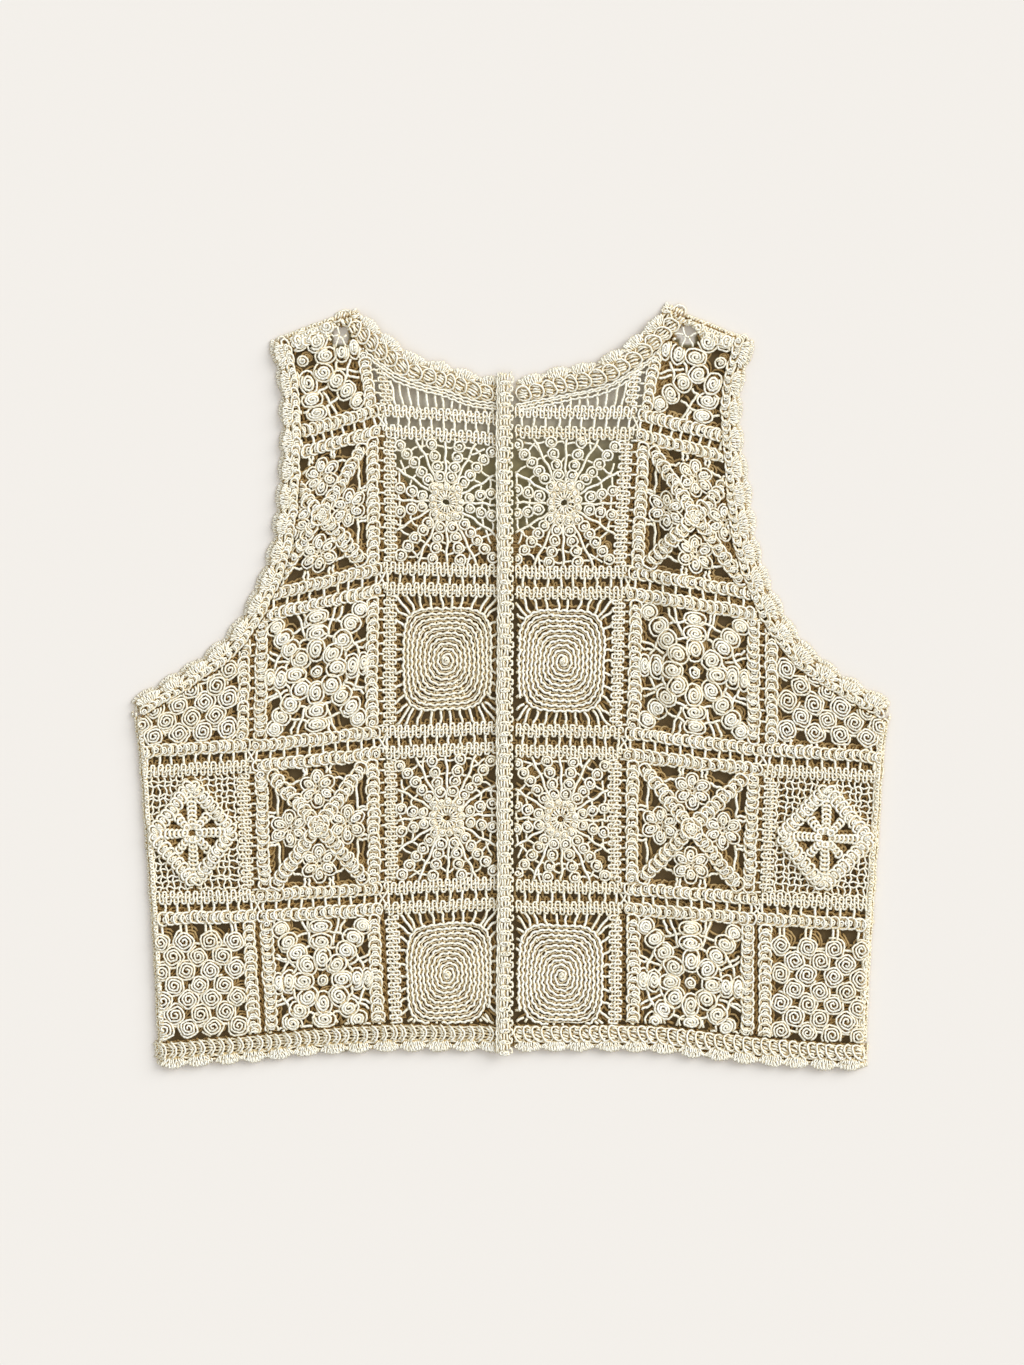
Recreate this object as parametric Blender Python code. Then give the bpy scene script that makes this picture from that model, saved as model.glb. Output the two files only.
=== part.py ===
# Sleeveless crochet vest of joined lace squares, laid flat with its two fronts on its back.
# Lengths in the tables are millimetres from the middle of the garment; the meshes are metres.
# +Z is up from the table, +Y is towards the neck, +X is the wearer's left, the viewer's right.

import bpy
from math import cos, exp, pi, sin
from mathutils import Vector
from mathutils.geometry import delaunay_2d_cdt

MM = 0.001
MIDDLE = (0.502, 2.038)  # middle of the finished outline, which is set on the origin

# Cloth and seams
CLOTH = 2.2              # thickness of a crochet panel
SEAM_GAP = 0.3           # between neighbouring pieces
LAYER = CLOTH + SEAM_GAP  # height of the fronts' underside over the table
BACK_SHOWS = 2.5         # how far the back reaches past the fronts at sides and shoulders
CENTRE_EDGE = 2.8        # each front stops this far from the centre line

# Crochet edging of neck, armholes and hem
TRIM_WIDTH = 15.0
SCALLOP_PITCH = 18.5
SCALLOP_DEPTH = 3.2
ROUND_CROWN = (0.0, 0.8, 1.0, 0.8)  # share of the depth at the points of one scallop, in front
PLAIN_CROWN = (0.0, 0.9, 0.9)       # and with fewer points at the back
SHELL_LIFT = 1.1         # the row of shells stands this much proud of the edging
SHELL_MIDDLE = 0.62      # a shell's crest, from the edge, in widths of the edging
SHELL_OUT = 0.27         # its reach outwards and inwards from the crest, in the same widths
SHELL_IN = 0.25
SHELL_HALF = 0.36        # half its length along the edging, in scallops
SEAM_STEP = 17.0         # spacing of points along a seam
FINE_PARTS = 10          # points of a smooth curve between two of its table's points

# Band down the centre, on the left front's edge and over the right front's
BAND_OVER = -9.2         # its free edge, across
BAND_SEAM = 2.5          # its sewn edge, across
BAND_CLEAR = 0.45        # its gap to the right front under it
BAND_SHOWN = 1.5         # cloth left plain beside its free edge
# Its upper outline from the sewn edge to the free one: across, height over the fronts' underside
BAND_CREST = ((BAND_SEAM, 3.4), (-1.0, 5.0), (-7.5, 4.8), (BAND_OVER, 3.7))
BAND_TOP = 217.0
BAND_FOOT = -245.0
BAND_STEP = 14.0
BAND_LUMP = 0.4

# Raised crochet on the squares
BORDER_LIFT = 1.1
ARM_LIFT = 1.5
FLOWER_LIFT = 1.7
ROSE_LIFT = 1.8
ROUND_LIFT = 1.0
HOLE_MARGIN = 1.6        # cloth left between a hole and the panel's edge
RELIEF_MARGIN = 0.7

# Edges of each front, (out from the centre line, up), from the centre band outwards.
# "right" is the wearer's right front, on the left of the picture.
EDGES = {
    "right": {
        "neck": ((3, 215), (21, 217), (41, 224), (62, 230), (76, 239), (89, 250), (101, 260)),
        "armhole": ((163, 237), (159, 222), (156, 199), (156, 165), (158, 131), (162, 100),
                    (170, 76), (184, 49), (201, 30), (225, 14), (257, -5)),
        "side": ((257, -5), (252, -46), (247, -101), (244, -155), (241, -209), (238, -257)),
        "hem": ((238, -257), (211, -255), (170, -252), (130, -248), (75, -245), (3, -245)),
    },
    "left": {
        "neck": ((3, 215), (14, 217), (34, 222), (54, 226), (74, 236), (91, 250), (103, 262)),
        "armhole": ((166, 237), (160, 220), (156, 199), (157, 165), (160, 131), (165, 100),
                    (173, 76), (185, 51), (202, 29), (227, 11), (258, -7)),
        "side": ((258, -7), (253, -46), (249, -101), (246, -155), (243, -209), (240, -258)),
        "hem": ((240, -258), (210, -257), (170, -254), (129, -250), (88, -246), (3, -245)),
    },
}

# Heights of the points along each front's centre edge, closer where the cloth sinks.
CENTRE_UPS = (-180, -120, -60, 0, 60, 110, 122, 134, 146, 158, 170, 182, 194)

# Deeper neck of the back, (out, up), from the shoulder to the middle.
BACK_NECK = ((102, 261), (93, 219), (84, 178), (71, 144), (46, 120), (0, 110))

# Corners of the lace squares, (out, up): one row of corners a line, from the neck to the hem,
# and in each line from the centre outwards.
CORNERS = {
    "right": (
        ((4, 288), (101, 290), (207, 263), (300, 233)),
        ((4, 182), (88, 186), (168, 163), (252, 131)),
        ((4, 76), (88, 77), (174, 56), (259, 35)),
        ((4, -31), (88, -34), (177, -44), (259, -48)),
        ((4, -137), (87, -141), (172, -145), (256, -148)),
        ((4, -243), (83, -248), (168, -252), (252, -256)),
    ),
    "left": (
        ((-4, 288), (102, 290), (219, 263), (306, 233)),
        ((-4, 184), (85, 183), (166, 161), (251, 131)),
        ((-4, 75), (80, 74), (172, 59), (260, 35)),
        ((-4, -33), (77, -35), (171, -46), (260, -52)),
        ((-4, -139), (77, -140), (168, -148), (256, -152)),
        ((-4, -245), (77, -249), (166, -256), (253, -262)),
    ),
}

# Pattern of each square: one line a row from the neck down, columns from the centre outwards.
PATTERNS = (
    ("spiral", "star", "none"),
    ("sunburst", "flowers", "none"),
    ("spiral", "star", "roses"),
    ("sunburst", "flowers", "diamond"),
    ("spiral", "star", "roses"),
)

# Soft vertical folds of the fronts, where the lace bulges: columns are the side, the place of
# the crest across, its upper and lower end, its half width and its height.
FOLDS = (
    ("left", 113, 175, -30, 10, 4.0),
    ("left", 118, -70, -205, 9, 2.2),
    ("right", 128, 120, 0, 12, 1.8),
    ("right", 196, -60, -190, 12, 1.5),
)
FOLD_STEP = 24.0         # spacing of the points along a fold
FOLD_SIDES = (-2.0, -1.0, 0.0, 1.0, 2.0)  # places across a fold, in half widths

# The fronts sink towards the table inside the back's neck, in a round dip.
DIP_REACH = 80.0         # its radius
DIP_MIDDLE = 200.0       # height of its middle
DIP_DEPTH = 2.0
DIP_SOFTNESS = 0.8       # 1 sinks over the whole radius, 0 all at once
DIP_POINTS = 36          # points round the dip, and round a smaller circle inside it
DIP_RINGS = (1.0, 0.8)

COTTON = (0.80, 0.76, 0.64, 1.0)
COTTON_SHADE = (0.72, 0.67, 0.54, 1.0)
COTTON_ROUGHNESS = 0.85
SIGN = {"right": -1, "left": 1}


def fresh_scene():
    for item in list(bpy.data.objects):
        bpy.data.objects.remove(item, do_unlink=True)


def cotton(name, colour):
    material = bpy.data.materials.new(name)
    material.use_nodes = True
    shader = material.node_tree.nodes["Principled BSDF"]
    shader.inputs["Base Color"].default_value = colour
    shader.inputs["Roughness"].default_value = COTTON_ROUGHNESS
    shader.inputs["Metallic"].default_value = 0.0
    return material


def smooth_step(value):
    value = min(1.0, max(0.0, value))
    return value * value * (3 - 2 * value)


def flat(across, up):
    return 0.0


def lie(across, up):
    """Height of the fronts' underside over the table."""
    height = LAYER
    for side, crest, top, foot, half_width, lift in FOLDS:
        offset = (across - SIGN[side] * crest) / half_width
        fade = smooth_step((top - up) / (3 * half_width)) * smooth_step((up - foot) / (3 * half_width))
        height += lift * exp(-offset * offset) * fade
    depth = 1 - (across ** 2 + (up - DIP_MIDDLE) ** 2) / DIP_REACH ** 2
    return height - DIP_DEPTH * smooth_step(depth / DIP_SOFTNESS)


# Lines and loops in the plane

def smooth_line(table, step):
    """Points at an even spacing on a smooth curve through the table's points."""
    fine = []
    last = len(table) - 1
    for index in range(last):
        before = Vector(table[max(index - 1, 0)])
        start = Vector(table[index])
        end = Vector(table[index + 1])
        after = Vector(table[min(index + 2, last)])
        for part in range(FINE_PARTS):
            t = part / FINE_PARTS
            fine.append(0.5 * (2 * start + (end - before) * t
                               + (2 * before - 5 * start + 4 * end - after) * t ** 2
                               + (3 * start - before - 3 * end + after) * t ** 3))
    fine.append(Vector(table[-1]))
    return even_line(fine, step)


def even_line(line, step):
    """The same line with its points at an even spacing of about one step."""
    length = sum((b - a).length for a, b in zip(line, line[1:]))
    count = max(1, round(length / step))
    points = [line[0].copy()]
    walked = 0.0
    wanted = length / count
    for a, b in zip(line, line[1:]):
        run = (b - a).length
        while walked + run >= wanted - 1e-6 and len(points) < count:
            points.append(a + (b - a) * ((wanted - walked) / run))
            wanted += length / count
        walked += run
    points.append(line[-1].copy())
    return points


def offset_line(line, distance):
    """The line moved to the right of its own direction, which is into the cloth."""
    moved = []
    for index, point in enumerate(line):
        before = line[max(index - 1, 0)]
        after = line[min(index + 1, len(line) - 1)]
        along = (after - before).normalized()
        moved.append(point + Vector((along.y, -along.x)) * distance)
    return moved


def cut_end(line, a, b):
    """The line ended where it meets the straight edge through a and b, longer or shorter."""
    edge = b - a
    for index in range(len(line) - 1):
        start = line[index]
        run = line[index + 1] - start
        cross = run.x * edge.y - run.y * edge.x
        if abs(cross) < 1e-9:
            continue
        t = ((a.x - start.x) * edge.y - (a.y - start.y) * edge.x) / cross
        if 0 < t <= 1 or index == len(line) - 2:
            return line[:index + 1] + [start + run * t]
    return line


def cut_start(line, a, b):
    return cut_end(line[::-1], a, b)[::-1]


def area(loop):
    """Twice the area in a loop, positive when it runs counter-clockwise."""
    return sum(a.x * b.y - a.y * b.x for a, b in zip(loop, loop[1:] + loop[:1]))


def counter_clockwise(loop):
    return loop if area(loop) > 0 else loop[::-1]


def inside(loop, point):
    odd = False
    for a, b in zip(loop, loop[1:] + loop[:1]):
        if (a.y > point.y) != (b.y > point.y):
            if point.x < a.x + (b.x - a.x) * (point.y - a.y) / (b.y - a.y):
                odd = not odd
    return odd


def distance_to(loop, point):
    nearest = 1e9
    for a, b in zip(loop, loop[1:] + loop[:1]):
        edge = b - a
        t = min(1.0, max(0.0, (point - a).dot(edge) / max(edge.length_squared, 1e-9)))
        nearest = min(nearest, (a + edge * t - point).length)
    return nearest


def clear_of(loop, points, margin):
    return all(inside(loop, point) and distance_to(loop, point) > margin for point in points)


# A wall of cloth: a plain underside and an upper side that carries the raised crochet

def triangles(outline, holes, relief):
    """Triangles between the outline and the holes, with each point's place in the input."""
    points = []
    edges = []
    faces = []
    for loop in [outline] + holes:
        first = len(points)
        points.extend(loop)
        faces.append([first + i for i in range(len(loop))])
    for loop in relief:
        first = len(points)
        points.extend(loop)
        if len(loop) == 2:
            edges.append((first, first + 1))
        if len(loop) > 2:
            edges.extend((first + i, first + (i + 1) % len(loop)) for i in range(len(loop)))
    found, _, cells, sources, _, owners = delaunay_2d_cdt(points, edges, faces, 0, 1e-4, True)
    kept = [cell for cell, owner in zip(cells, owners) if list(owner) == [0]]
    return found, kept, sources


def rims(cells):
    """Loops round the triangles and their holes, each with the cloth on its left."""
    edges = {(cell[i], cell[(i + 1) % 3]) for cell in cells for i in range(3)}
    after = {a: b for a, b in edges if (b, a) not in edges}
    loops = []
    while after:
        first = min(after)
        loop = [first]
        while after[loop[-1]] != first:
            loop.append(after.pop(loop[-1]))
        after.pop(loop[-1])
        loops.append(loop)
    return loops


def wall(name, outline, holes, relief, form, under, material):
    """A closed wall; relief is a list of (loop of points, lift over the plain upper side)."""
    outline = counter_clockwise(outline)
    holes = [counter_clockwise(hole) for hole in holes]
    lifts = [0.0] * (len(outline) + sum(len(hole) for hole in holes))
    for loop, lift in relief:
        lifts.extend([lift] * len(loop))
    lifts.extend([0.0] * len(form))
    form_loops = [[point] for point in form]
    points, facets, sources = triangles(outline, holes, [loop for loop, _ in relief] + form_loops)
    vertices = []
    for point, own in zip(points, sources):
        height = under(point.x, point.y) + CLOTH + max([lifts[source] for source in own] + [0.0])
        vertices.append((point.x, point.y, height))
    loops = sorted(rims(facets), key=lambda loop: -area([points[index] for index in loop]))
    plain = [[points[index] for index in loop] for loop in loops]
    found, cells, sources = triangles(plain[0], [loop[::-1] for loop in plain[1:]], form_loops)
    order = loops[0] + [index for loop in loops[1:] for index in loop[::-1]]
    first = len(vertices)
    below = {}
    for index, point in enumerate(found):
        vertices.append((point.x, point.y, under(point.x, point.y)))
        for source in sources[index]:
            if source < len(order):
                below[order[source]] = first + index
    facets = [list(cell) for cell in facets]
    facets += [[first + index for index in cell[::-1]] for cell in cells]
    for loop in loops:
        for a, b in zip(loop, loop[1:] + loop[:1]):
            facets.append([below[a], below[b], b])
            facets.append([below[a], b, a])
    solid(name, vertices, facets, material)


def solid(name, vertices, facets, material):
    """An object of the facets' points, given in millimetres."""
    used = sorted({index for facet in facets for index in facet})
    number = {old: new for new, old in enumerate(used)}
    corners = []
    for index in used:
        across, up, height = vertices[index]
        corners.append(((across - MIDDLE[0]) * MM, (up - MIDDLE[1]) * MM, height * MM))
    mesh = bpy.data.meshes.new(name)
    mesh.from_pydata(corners, [], [[number[index] for index in facet] for facet in facets])
    mesh.materials.append(material)
    item = bpy.data.objects.new(name, mesh)
    bpy.context.scene.collection.objects.link(item)


# Patterns of the squares, in a square's own measure: -1 to 1 across and up.
# The columns of ARMS and GAPS are where one starts and ends, and its half width there.

ARMS = {
    "star": (0.17, 0.72, 0.06, 0.10),
    "star_corner": (0.17, 0.90, 0.06, 0.10),
    "sunburst": (0.24, 0.71, 0.03, 0.075),
    "cross": (0.10, 0.96, 0.05, 0.09),
}
GAPS = {
    "star": (0.40, 0.68, 0.03, 0.13),
    "sunburst": (0.46, 0.73, 0.022, 0.052),
    "diamond": (0.20, 0.40, 0.03, 0.09),
}
ARM_SLOPE = 0.14         # length of an arm's sloping ends, as a share of it
STAR_MIDDLE = 0.10
SUN_MIDDLE = 0.17
SPIRAL_MIDDLE = (0.04, 0.0)
# Rounds of the spiral: radius, points and share of the lift
SPIRAL_ROUNDS = ((0.68, 16, 0.0), (0.61, 16, 1.0), (0.53, 12, 0.2), (0.45, 12, 1.0),
                 (0.36, 8, 0.2), (0.27, 8, 1.0), (0.18, 6, 0.2), (0.08, 6, 1.0))
SPIRAL_CORNER_GAP = ((0.735, 0.50), (0.735, 0.735), (0.50, 0.735), (0.63, 0.63))
FLOWER_OUT = 0.47        # a flower's middle, from the square's
FLOWER_TIP = 0.235       # radius at the petals' tips, between them and at their crests
FLOWER_WAIST = 0.17
FLOWER_CREST = 0.13
FLOWER_HOLLOW = 0.4      # height of a flower's middle, as a share of its crest
FLOWER_GAP = ((0.71, 0.24), (0.71, 0.47), (0.50, 0.31), (0.56, 0.24))
ROSE_ROWS = 8
ROSE_FOOT = -0.65
ROSE_PLACES = ((-0.6, -0.2, 0.2, 0.6), (-0.4, 0.0, 0.4))  # across, in every other row
ROSE_RADIUS = 0.15
ROSE_SQUASH = 0.76       # keeps a rose round in a square that is taller than wide
ROSE_TURN = 0.3
ROSE_GAP = ((-0.08, 0.755), (0.08, 0.755), (0.0, 0.655))
DIAMOND_ROUNDS = ((0.76, 0.0), (0.68, 1.0), (0.58, 0.0))  # radius and share of the lift
DIAMOND_MIDDLE = 0.15
BORDER = (0.94, 0.85, 0.76)  # outer edge, crest and inner edge of a border band
BORDER_JOINT = 0.01
BORDER_SLOPE = 0.06
SLOT = (-0.09, 0.09, -1.05, -0.955)  # left, right, lower and upper edge of a gap between squares
SLOT_PLACES = (-0.45, 0.45)


def polar(angle, radius, sideways=0.0):
    return (radius * cos(angle) - sideways * sin(angle), radius * sin(angle) + sideways * cos(angle))


def spoke(angle, near, far, near_half, far_half):
    """A four-sided patch that widens outwards along a direction."""
    return [polar(angle, near, -near_half), polar(angle, far, -far_half),
            polar(angle, far, far_half), polar(angle, near, near_half)]


def ring(middle, radius, count, turn=0.0, squash=1.0):
    return [(middle[0] + radius * cos(turn + 2 * pi * i / count),
             middle[1] + radius * squash * sin(turn + 2 * pi * i / count)) for i in range(count)]


def arm(angle, sizes):
    """A raised arm: its foot line and its crest."""
    near, far = sizes[:2]
    inset = (far - near) * ARM_SLOPE
    crest = [polar(angle, near + inset), polar(angle, far - inset)]
    return [(spoke(angle, *sizes), 0.0), (crest, ARM_LIFT)]


def rounded_square(radius, count, middle):
    points = []
    for i in range(count):
        angle = 2 * pi * (i + 0.5) / count
        reach = radius / (cos(angle) ** 4 + sin(angle) ** 4) ** 0.25
        points.append((middle[0] + reach * cos(angle), middle[1] + reach * sin(angle)))
    return points


def star():
    relief = [(ring((0, 0), STAR_MIDDLE, 8), ARM_LIFT)]
    holes = []
    for i in range(8):
        angle = i * pi / 4
        relief += arm(angle, ARMS["star" if i % 2 == 0 else "star_corner"])
        holes.append(spoke(angle + pi / 8, *GAPS["star"]))
    return holes, relief


def sunburst():
    relief = [(ring((0, 0), SUN_MIDDLE, 8), ARM_LIFT / 2)]
    holes = []
    for i in range(16):
        angle = (i + 0.5) * pi / 8
        relief += arm(angle, ARMS["sunburst"])
        if i % 2 == 0:
            holes.append(spoke(angle + pi / 16, *GAPS["sunburst"]))
    return holes, relief


def spiral():
    relief = []
    for radius, count, share in SPIRAL_ROUNDS:
        relief.append((rounded_square(radius, count, SPIRAL_MIDDLE), ROUND_LIFT * share))
    corners = ((1, 1), (-1, 1), (-1, -1), (1, -1))
    holes = [[(s * x, t * y) for x, y in SPIRAL_CORNER_GAP] for s, t in corners]
    return holes, relief


def flowers():
    relief = []
    holes = []
    for i in range(4):
        angle = i * pi / 2
        middle = polar(angle, FLOWER_OUT)
        tips = ring(middle, FLOWER_TIP, 12)
        waists = ring(middle, FLOWER_WAIST, 12)
        relief.append(([(waists if k % 2 else tips)[k] for k in range(12)], 0.0))
        relief.append((ring(middle, FLOWER_CREST, 6), FLOWER_LIFT))
        relief.append(([middle], FLOWER_LIFT * FLOWER_HOLLOW))
        relief += arm(angle + pi / 4, ARMS["cross"])
        for side in (-1, 1):
            holes.append([polar(angle, out, side * across) for out, across in FLOWER_GAP])
    return holes, relief


def roses():
    relief = []
    for row in range(ROSE_ROWS):
        up = ROSE_FOOT - ROSE_FOOT * 2 * row / (ROSE_ROWS - 1)
        for across in ROSE_PLACES[row % 2]:
            relief.append((ring((across, up), ROSE_RADIUS, 5, ROSE_TURN * row, ROSE_SQUASH), 0.0))
            relief.append(([(across, up)], ROSE_LIFT))
    holes = []
    for across in ROSE_PLACES[1]:
        for sign in (-1, 1):
            holes.append([(across + x, sign * up) for x, up in ROSE_GAP])
    return holes, relief


def diamond():
    relief = []
    for radius, share in DIAMOND_ROUNDS:
        corners = [polar(i * pi / 4, radius / (1 if i % 2 == 0 else 2 ** 0.5)) for i in range(8)]
        relief.append((corners, ARM_LIFT * share))
    relief.append((ring((0, 0), DIAMOND_MIDDLE, 8), 0.0))
    relief.append(([(0, 0)], ARM_LIFT))
    holes = [spoke((i + 0.5) * pi / 4, *GAPS["diamond"]) for i in range(8)]
    return holes, relief


MOTIFS = {"star": star, "sunburst": sunburst, "spiral": spiral, "flowers": flowers,
          "roses": roses, "diamond": diamond}


def borders(column, pieces):
    """Raised bands round a square; the column at the centre has none along the centre."""
    outer, crest, inner = BORDER
    relief = []
    for number in range(4):
        if number == 2 and column == 0:
            continue
        for piece in range(pieces):
            low = -inner + 2 * inner * piece / pieces + BORDER_JOINT
            high = -inner + 2 * inner * (piece + 1) / pieces - BORDER_JOINT
            turn = number * pi / 2
            foot = [(outer, low), (outer, high), (inner, high), (inner, low)]
            ridge = [(crest, low + BORDER_SLOPE), (crest, high - BORDER_SLOPE)]
            relief.append(([polar(turn, x, y) for x, y in foot], 0.0))
            relief.append(([polar(turn, x, y) for x, y in ridge], BORDER_LIFT))
    return relief


def slots():
    """Gaps between the bars that join one square to the next below."""
    left, right, low, high = SLOT
    return [[(x + left, low), (x + right, low), (x + right, high), (x + left, high)]
            for x in SLOT_PLACES]


def place(side, row, column, point):
    """A square's own point, on the garment."""
    above = CORNERS[side][row]
    below = CORNERS[side][row + 1]
    s = (point[0] + 1) / 2
    t = (point[1] + 1) / 2
    top = Vector(above[column]).lerp(Vector(above[column + 1]), s)
    foot = Vector(below[column]).lerp(Vector(below[column + 1]), s)
    spot = foot.lerp(top, t)
    return Vector((SIGN[side] * spot.x, spot.y))


def lace(side, outline, limit, folded_columns=()):
    """Holes and relief of one side's squares that lie well inside the outline."""
    holes = []
    relief = []
    for row, line in enumerate(PATTERNS):
        for column, pattern in enumerate(line):
            if pattern == "none":
                continue

            def put(loop):
                return [place(side, row, column, point) for point in loop]

            def fits(loop, margin):
                if any(SIGN[side] * point.x < limit for point in loop):
                    return False
                return clear_of(outline, loop, margin)

            own_holes, own_relief = MOTIFS[pattern]()
            if row < len(PATTERNS) - 1:
                own_holes = own_holes + slots()
            whole = fits(put([(1, 1), (1, -1), (-1, 1), (-1, -1)]), 0.0)
            pieces = 3 if column in folded_columns or not whole else 1
            own_relief = own_relief + borders(column, pieces)
            holes += [put(loop) for loop in own_holes if fits(put(loop), HOLE_MARGIN)]
            relief += [(put(loop), lift) for loop, lift in own_relief
                       if fits(put(loop), RELIEF_MARGIN)]
    return holes, relief


def form_points(side, outline, holes):
    """Points along the folds and round the dip, so that both faces of the wall follow them."""
    points = []
    for share in DIP_RINGS:
        points += [Vector(spot) for spot in ring((0, DIP_MIDDLE), DIP_REACH * share, DIP_POINTS, 0.04)]
    for owner, crest, top, foot, half_width, _ in FOLDS:
        if owner != side:
            continue
        count = round((top - foot) / FOLD_STEP)
        for index in range(count + 1):
            up = foot + (top - foot) * index / count
            for share in FOLD_SIDES:
                points.append(Vector((SIGN[side] * crest + share * half_width, up)))
    solid_ones = [point for point in points if clear_of(outline, [point], HOLE_MARGIN)]
    return [point for point in solid_ones
            if not any(inside(hole, point) or distance_to(hole, point) < 1 for hole in holes)]


# Edges of the pieces

def edge_lines(side, reach):
    """One side's edges as smooth lines (out, up), moved out by reach but for neck and hem."""
    table = EDGES[side]
    shoulder = [Vector(table["neck"][-1]), Vector(table["armhole"][0])]
    lines = {
        "neck": smooth_line(table["neck"], SEAM_STEP / 2),
        "shoulder": offset_line(shoulder, -reach),
        "armhole": offset_line(smooth_line(table["armhole"], SEAM_STEP), -reach),
        "side": offset_line(smooth_line(table["side"], 3 * SEAM_STEP), -reach),
        "hem": smooth_line(table["hem"], SEAM_STEP),
    }
    return lines


def strip_lines(lines, name, depth):
    """One edge moved into the cloth by depth, ended on the edges next to it."""
    moved = offset_line(lines[name], depth)
    centre = (Vector((CENTRE_EDGE, 0)), Vector((CENTRE_EDGE, 1)))
    before, after = {
        "neck": (centre, lines["shoulder"]),
        "armhole": (lines["shoulder"], lines["side"][:2]),
        "hem": (lines["side"][-2:], centre),
    }[name]
    return cut_end(cut_start(moved, *before), *after)


def to_side(side, line):
    return [Vector((SIGN[side] * point.x, point.y)) for point in line]


def scalloped(line, depth, crown):
    """The outer edge of a trim: one wave for each shell."""
    length = sum((b - a).length for a, b in zip(line, line[1:]))
    count = max(2, round(length / SCALLOP_PITCH))
    steps = len(crown)
    fine = even_line(line, length / (count * steps))
    wavy = [fine[0]]
    for index in range(1, len(fine) - 1):
        along = (fine[index + 1] - fine[index - 1]).normalized()
        inwards = Vector((along.y, -along.x))
        wavy.append(fine[index] + inwards * depth * (1 - crown[index % steps]))
    return wavy + [fine[-1]]


def shells(outer, inner):
    """Raised shells along the inner half of a trim."""
    relief = []
    length = sum((b - a).length for a, b in zip(outer, outer[1:]))
    count = max(2, round(length / SCALLOP_PITCH))
    far = even_line(outer, length / (2 * count))
    near = []
    for point in far:
        near.append(min(inner, key=lambda other: (other - point).length))
    for index in range(1, len(far) - 1, 2):
        across = (far[index] - near[index]).normalized()
        along = Vector((across.y, -across.x))
        middle = far[index] - across * TRIM_WIDTH * SHELL_MIDDLE
        half = SCALLOP_PITCH * SHELL_HALF
        foot = [middle + along * half, middle + across * TRIM_WIDTH * SHELL_OUT,
                middle - along * half, middle - across * TRIM_WIDTH * SHELL_IN]
        relief.append((foot, 0.0))
        relief.append(([middle], SHELL_LIFT))
    return relief


def trim(name, outer, inner, under, raised, material):
    crown = ROUND_CROWN if raised else PLAIN_CROWN
    edge = scalloped(outer, SCALLOP_DEPTH, crown)
    outline = counter_clockwise(edge + inner[::-1])
    relief = []
    if raised:
        found = shells(outer, inner)
        for foot, crest in zip(found[::2], found[1::2]):
            if clear_of(outline, foot[0], RELIEF_MARGIN):
                relief += [foot, crest]
    return wall(name, outline, [], relief, [], under, material)


# The pieces of the vest

def front(side, material):
    lines = edge_lines(side, 0.0)
    deep = TRIM_WIDTH + SEAM_GAP
    outline = strip_lines(lines, "neck", deep) + strip_lines(lines, "armhole", deep)
    outline += lines["side"][1:-1] + strip_lines(lines, "hem", deep)
    outline += [Vector((CENTRE_EDGE, up)) for up in CENTRE_UPS]
    outline = counter_clockwise(to_side(side, outline))
    limit = BAND_SHOWN - BAND_OVER if side == "right" else CENTRE_EDGE
    folded = (1,) if side == "left" else ()
    holes, relief = lace(side, outline, limit, folded)
    form = form_points(side, outline, holes)
    wall("front_" + side, outline, holes, relief, form, lie, material)
    return len(holes)


def front_trims(side, material):
    lines = edge_lines(side, 0.0)
    for name, edge in (("neck_edging_", "neck"), ("armhole_edging_front_", "armhole"),
                       ("hem_edging_", "hem")):
        outer = to_side(side, strip_lines(lines, edge, 0.0))
        inner = to_side(side, strip_lines(lines, edge, TRIM_WIDTH))
        if side == "left":
            outer = outer[::-1]
            inner = inner[::-1]
        trim(name + side, outer, inner, lie, True, material)


def back_neck_line(depth):
    half = smooth_line(BACK_NECK, SEAM_STEP)
    whole = to_side("right", half) + to_side("left", half[:-1])[::-1]
    moved = offset_line(whole, depth)
    right = edge_lines("right", BACK_SHOWS)["shoulder"]
    left = edge_lines("left", BACK_SHOWS)["shoulder"]
    return cut_end(cut_start(moved, *to_side("right", right)), *to_side("left", left))


def back_hem_line(depth):
    left = edge_lines("left", BACK_SHOWS)
    right = edge_lines("right", BACK_SHOWS)
    whole = to_side("left", left["hem"])[:-1] + to_side("right", right["hem"])[::-1][1:]
    moved = offset_line(whole, depth + 1)
    return cut_end(cut_start(moved, *to_side("left", left["side"][-2:])),
                   *to_side("right", right["side"][-2:]))


def back(material):
    deep = TRIM_WIDTH + SEAM_GAP
    outline = back_neck_line(deep)
    for side in ("left", "right"):
        lines = edge_lines(side, BACK_SHOWS)
        flank = strip_lines(lines, "armhole", deep) + lines["side"][1:-1]
        if side == "left":
            outline += to_side(side, flank) + back_hem_line(deep)
        else:
            outline += to_side(side, flank)[::-1]
    outline = counter_clockwise(outline)
    holes = []
    for side in ("right", "left"):
        found, _ = lace(side, outline, CENTRE_EDGE)
        holes += found[::2]
    wall("back", outline, holes, [], [], flat, material)
    return len(holes)


def back_trims(material):
    trim("neck_edging_back", back_neck_line(0.0), back_neck_line(TRIM_WIDTH), flat, False, material)
    trim("hem_edging_back", back_hem_line(0.0), back_hem_line(TRIM_WIDTH), flat, False, material)
    for side in ("right", "left"):
        lines = edge_lines(side, BACK_SHOWS)
        outer = to_side(side, strip_lines(lines, "armhole", 0.0))
        inner = to_side(side, strip_lines(lines, "armhole", TRIM_WIDTH))
        if side == "left":
            outer = outer[::-1]
            inner = inner[::-1]
        trim("armhole_edging_back_" + side, outer, inner, flat, False, material)


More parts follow.
